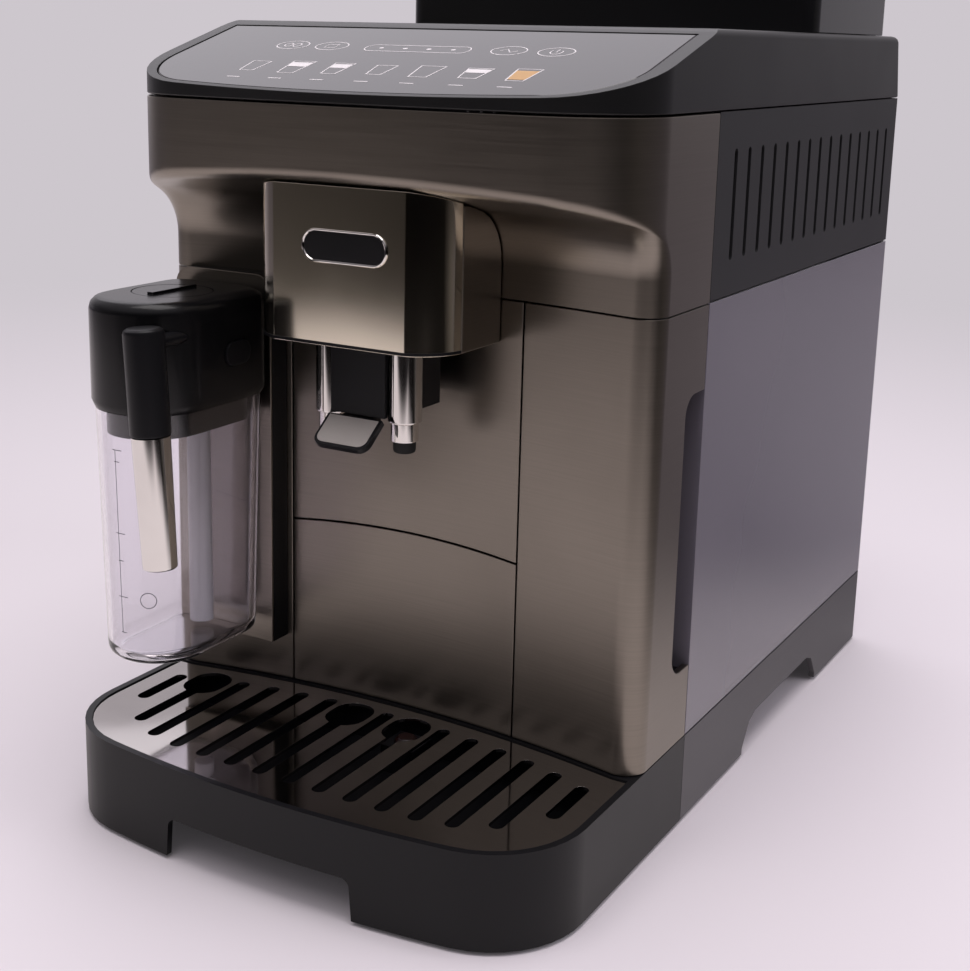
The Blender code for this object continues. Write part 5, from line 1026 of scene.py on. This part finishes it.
# A plain graduated line with one small ring beside it
def makeScale():
    def onNose(along, z):
        foot = carafe["low"] + carafe["footRound"]
        share = (z - foot) / (carafe["top"] - foot)
        radius = carafe["half"] - (carafe["taper"] + (fit - carafe["taper"]) * share) + scaleMarks["lift"]
        angle = radians(scaleMarks["angle"]) + along / radius
        return (carafe["x"] + radius * cos(angle), carafe["noseY"] + radius * sin(angle), z)
    ink = Marks(onNose)
    ticks, stroke = scaleMarks["ticks"], scaleMarks["stroke"]
    steps, tickSteps = scaleMarks["steps"], scaleMarks["tickSteps"]
    ink.line([(0, ticks[0] + (ticks[-1] - ticks[0]) * i / steps) for i in range(steps + 1)], stroke)
    for i, z in enumerate(ticks):
        long = scaleMarks["tickShort" if i % 2 else "tickLong"]
        behind = scaleMarks["overhang"] * long
        ink.line([((long + behind) * j / tickSteps - behind, z) for j in range(tickSteps + 1)], stroke)
    ringX = radians(scaleMarks["ringAngle"] - scaleMarks["angle"]) * carafe["half"]
    ink.line(oval(ringX, scaleMarks["ringZ"], scaleMarks["ringWide"], scaleMarks["ringWide"], 28), stroke, True)
    ink.finish("carafe_scale", darkInk, bodyOf("carafe_container"), "carafe_clear")


arm = dict(x=-0.0632, y=-0.192487, radius=0.0083, low=0.1775, top=0.2208, pivotZ=0.214, lean=3.4,
           spoutLow=0.1225, spoutRadius=0.0079, taper=0.0008, pin=0.003, pinEnd=0.030)


# The arm and its spout lean together about the arm's pivot
def leaned(piece):
    pivot = Vector((arm["x"], arm["y"], arm["pivotZ"]))
    turn = Matrix.Rotation(radians(-arm["lean"]), 4, "Y")
    piece.data.transform(Matrix.Translation(pivot) @ turn @ Matrix.Translation(-pivot))
    return piece


def makeArm():
    centre = (arm["x"], arm["y"])
    radius, low, top = arm["radius"], arm["low"], arm["top"]
    profile = [(radius - 2 * mm, low), (radius - 0.9 * mm, low), (radius - 0.3 * mm, low + 0.3 * mm),
               (radius, low + mm), (radius, top - 2.2 * mm), (radius - 0.5 * mm, top - 0.9 * mm),
               (radius - 1.6 * mm, top - 0.15 * mm), (radius - 2.6 * mm, top)]
    piece = leaned(turned("milk_arm_shell", centre, profile, satinAbs, bodyOf("milk_arm")))
    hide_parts("milk_arm")
    pin, pinEnd = arm["pin"], arm["y"] + arm["pinEnd"]
    profile = [(pin - 0.2 * mm, pinEnd), (pin, pinEnd - 0.2 * mm), (pin, arm["y"])]
    turned("milk_arm_pin", (arm["x"], arm["pivotZ"]), profile, satinAbs, bodyOf("milk_arm"),
           axis="Y", steps=40)
    tipRadius = arm["spoutRadius"] - arm["taper"]
    bore = tipRadius - 1.5 * mm
    low = arm["spoutLow"]
    profile = [(bore, low + arm["radius"]), (bore, low + 0.2 * mm), (tipRadius - 1.1 * mm, low),
               (tipRadius - 0.5 * mm, low + 0.1 * mm), (tipRadius - 0.1 * mm, low + 0.5 * mm),
               (tipRadius, low + mm), (arm["spoutRadius"], arm["low"] - fit)]
    piece = leaned(turned("milk_spout_shell", centre, profile, chromePlate, bodyOf("milk_spout")))
    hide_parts("milk_spout")


makeContainer()
makeScale()
makeArm()
dressNode("carafe_lid", lidAbs, 0.5, 3)
dressNode("froth_dial", lidAbs, 0.3)
for side in ("left", "right"):
    dressNode("release_button_" + side, satinAbs, 0.3)
dressNode("milk_intake_tube", whiteTube, 0.2)
dressNode("dock_panel", satinAbs, 0.4)
dressNode("dock_plate", bronze, 0.3)
dressNode("milk_nozzle", satinSteel, 0.3)

# Back and what works inside

print("back and inside")
dressNode("main_switch", satinAbs, 0.3)
dressNode("power_inlet", satinAbs, 0.2)
dressNode("preground_door", satinAbs, 0.2)
dressNode("grind_dial", texturedAbs, 0.3)
inside = {"inner_frame": satinAbs, "grinder_body": texturedAbs, "burr_rotor": satinSteel,
          "grinder_motor": satinSteel, "brew_unit": texturedAbs, "brew_piston": tabGrey,
          "brew_drive": satinSteel, "boiler": castAluminium, "pump": tabGrey, "circuit_board": fibreBoard}
for node, material in inside.items():
    mesh = cadNodes[node].data
    for i in range(len(mesh.materials)):
        mesh.materials[i] = material

print("done")
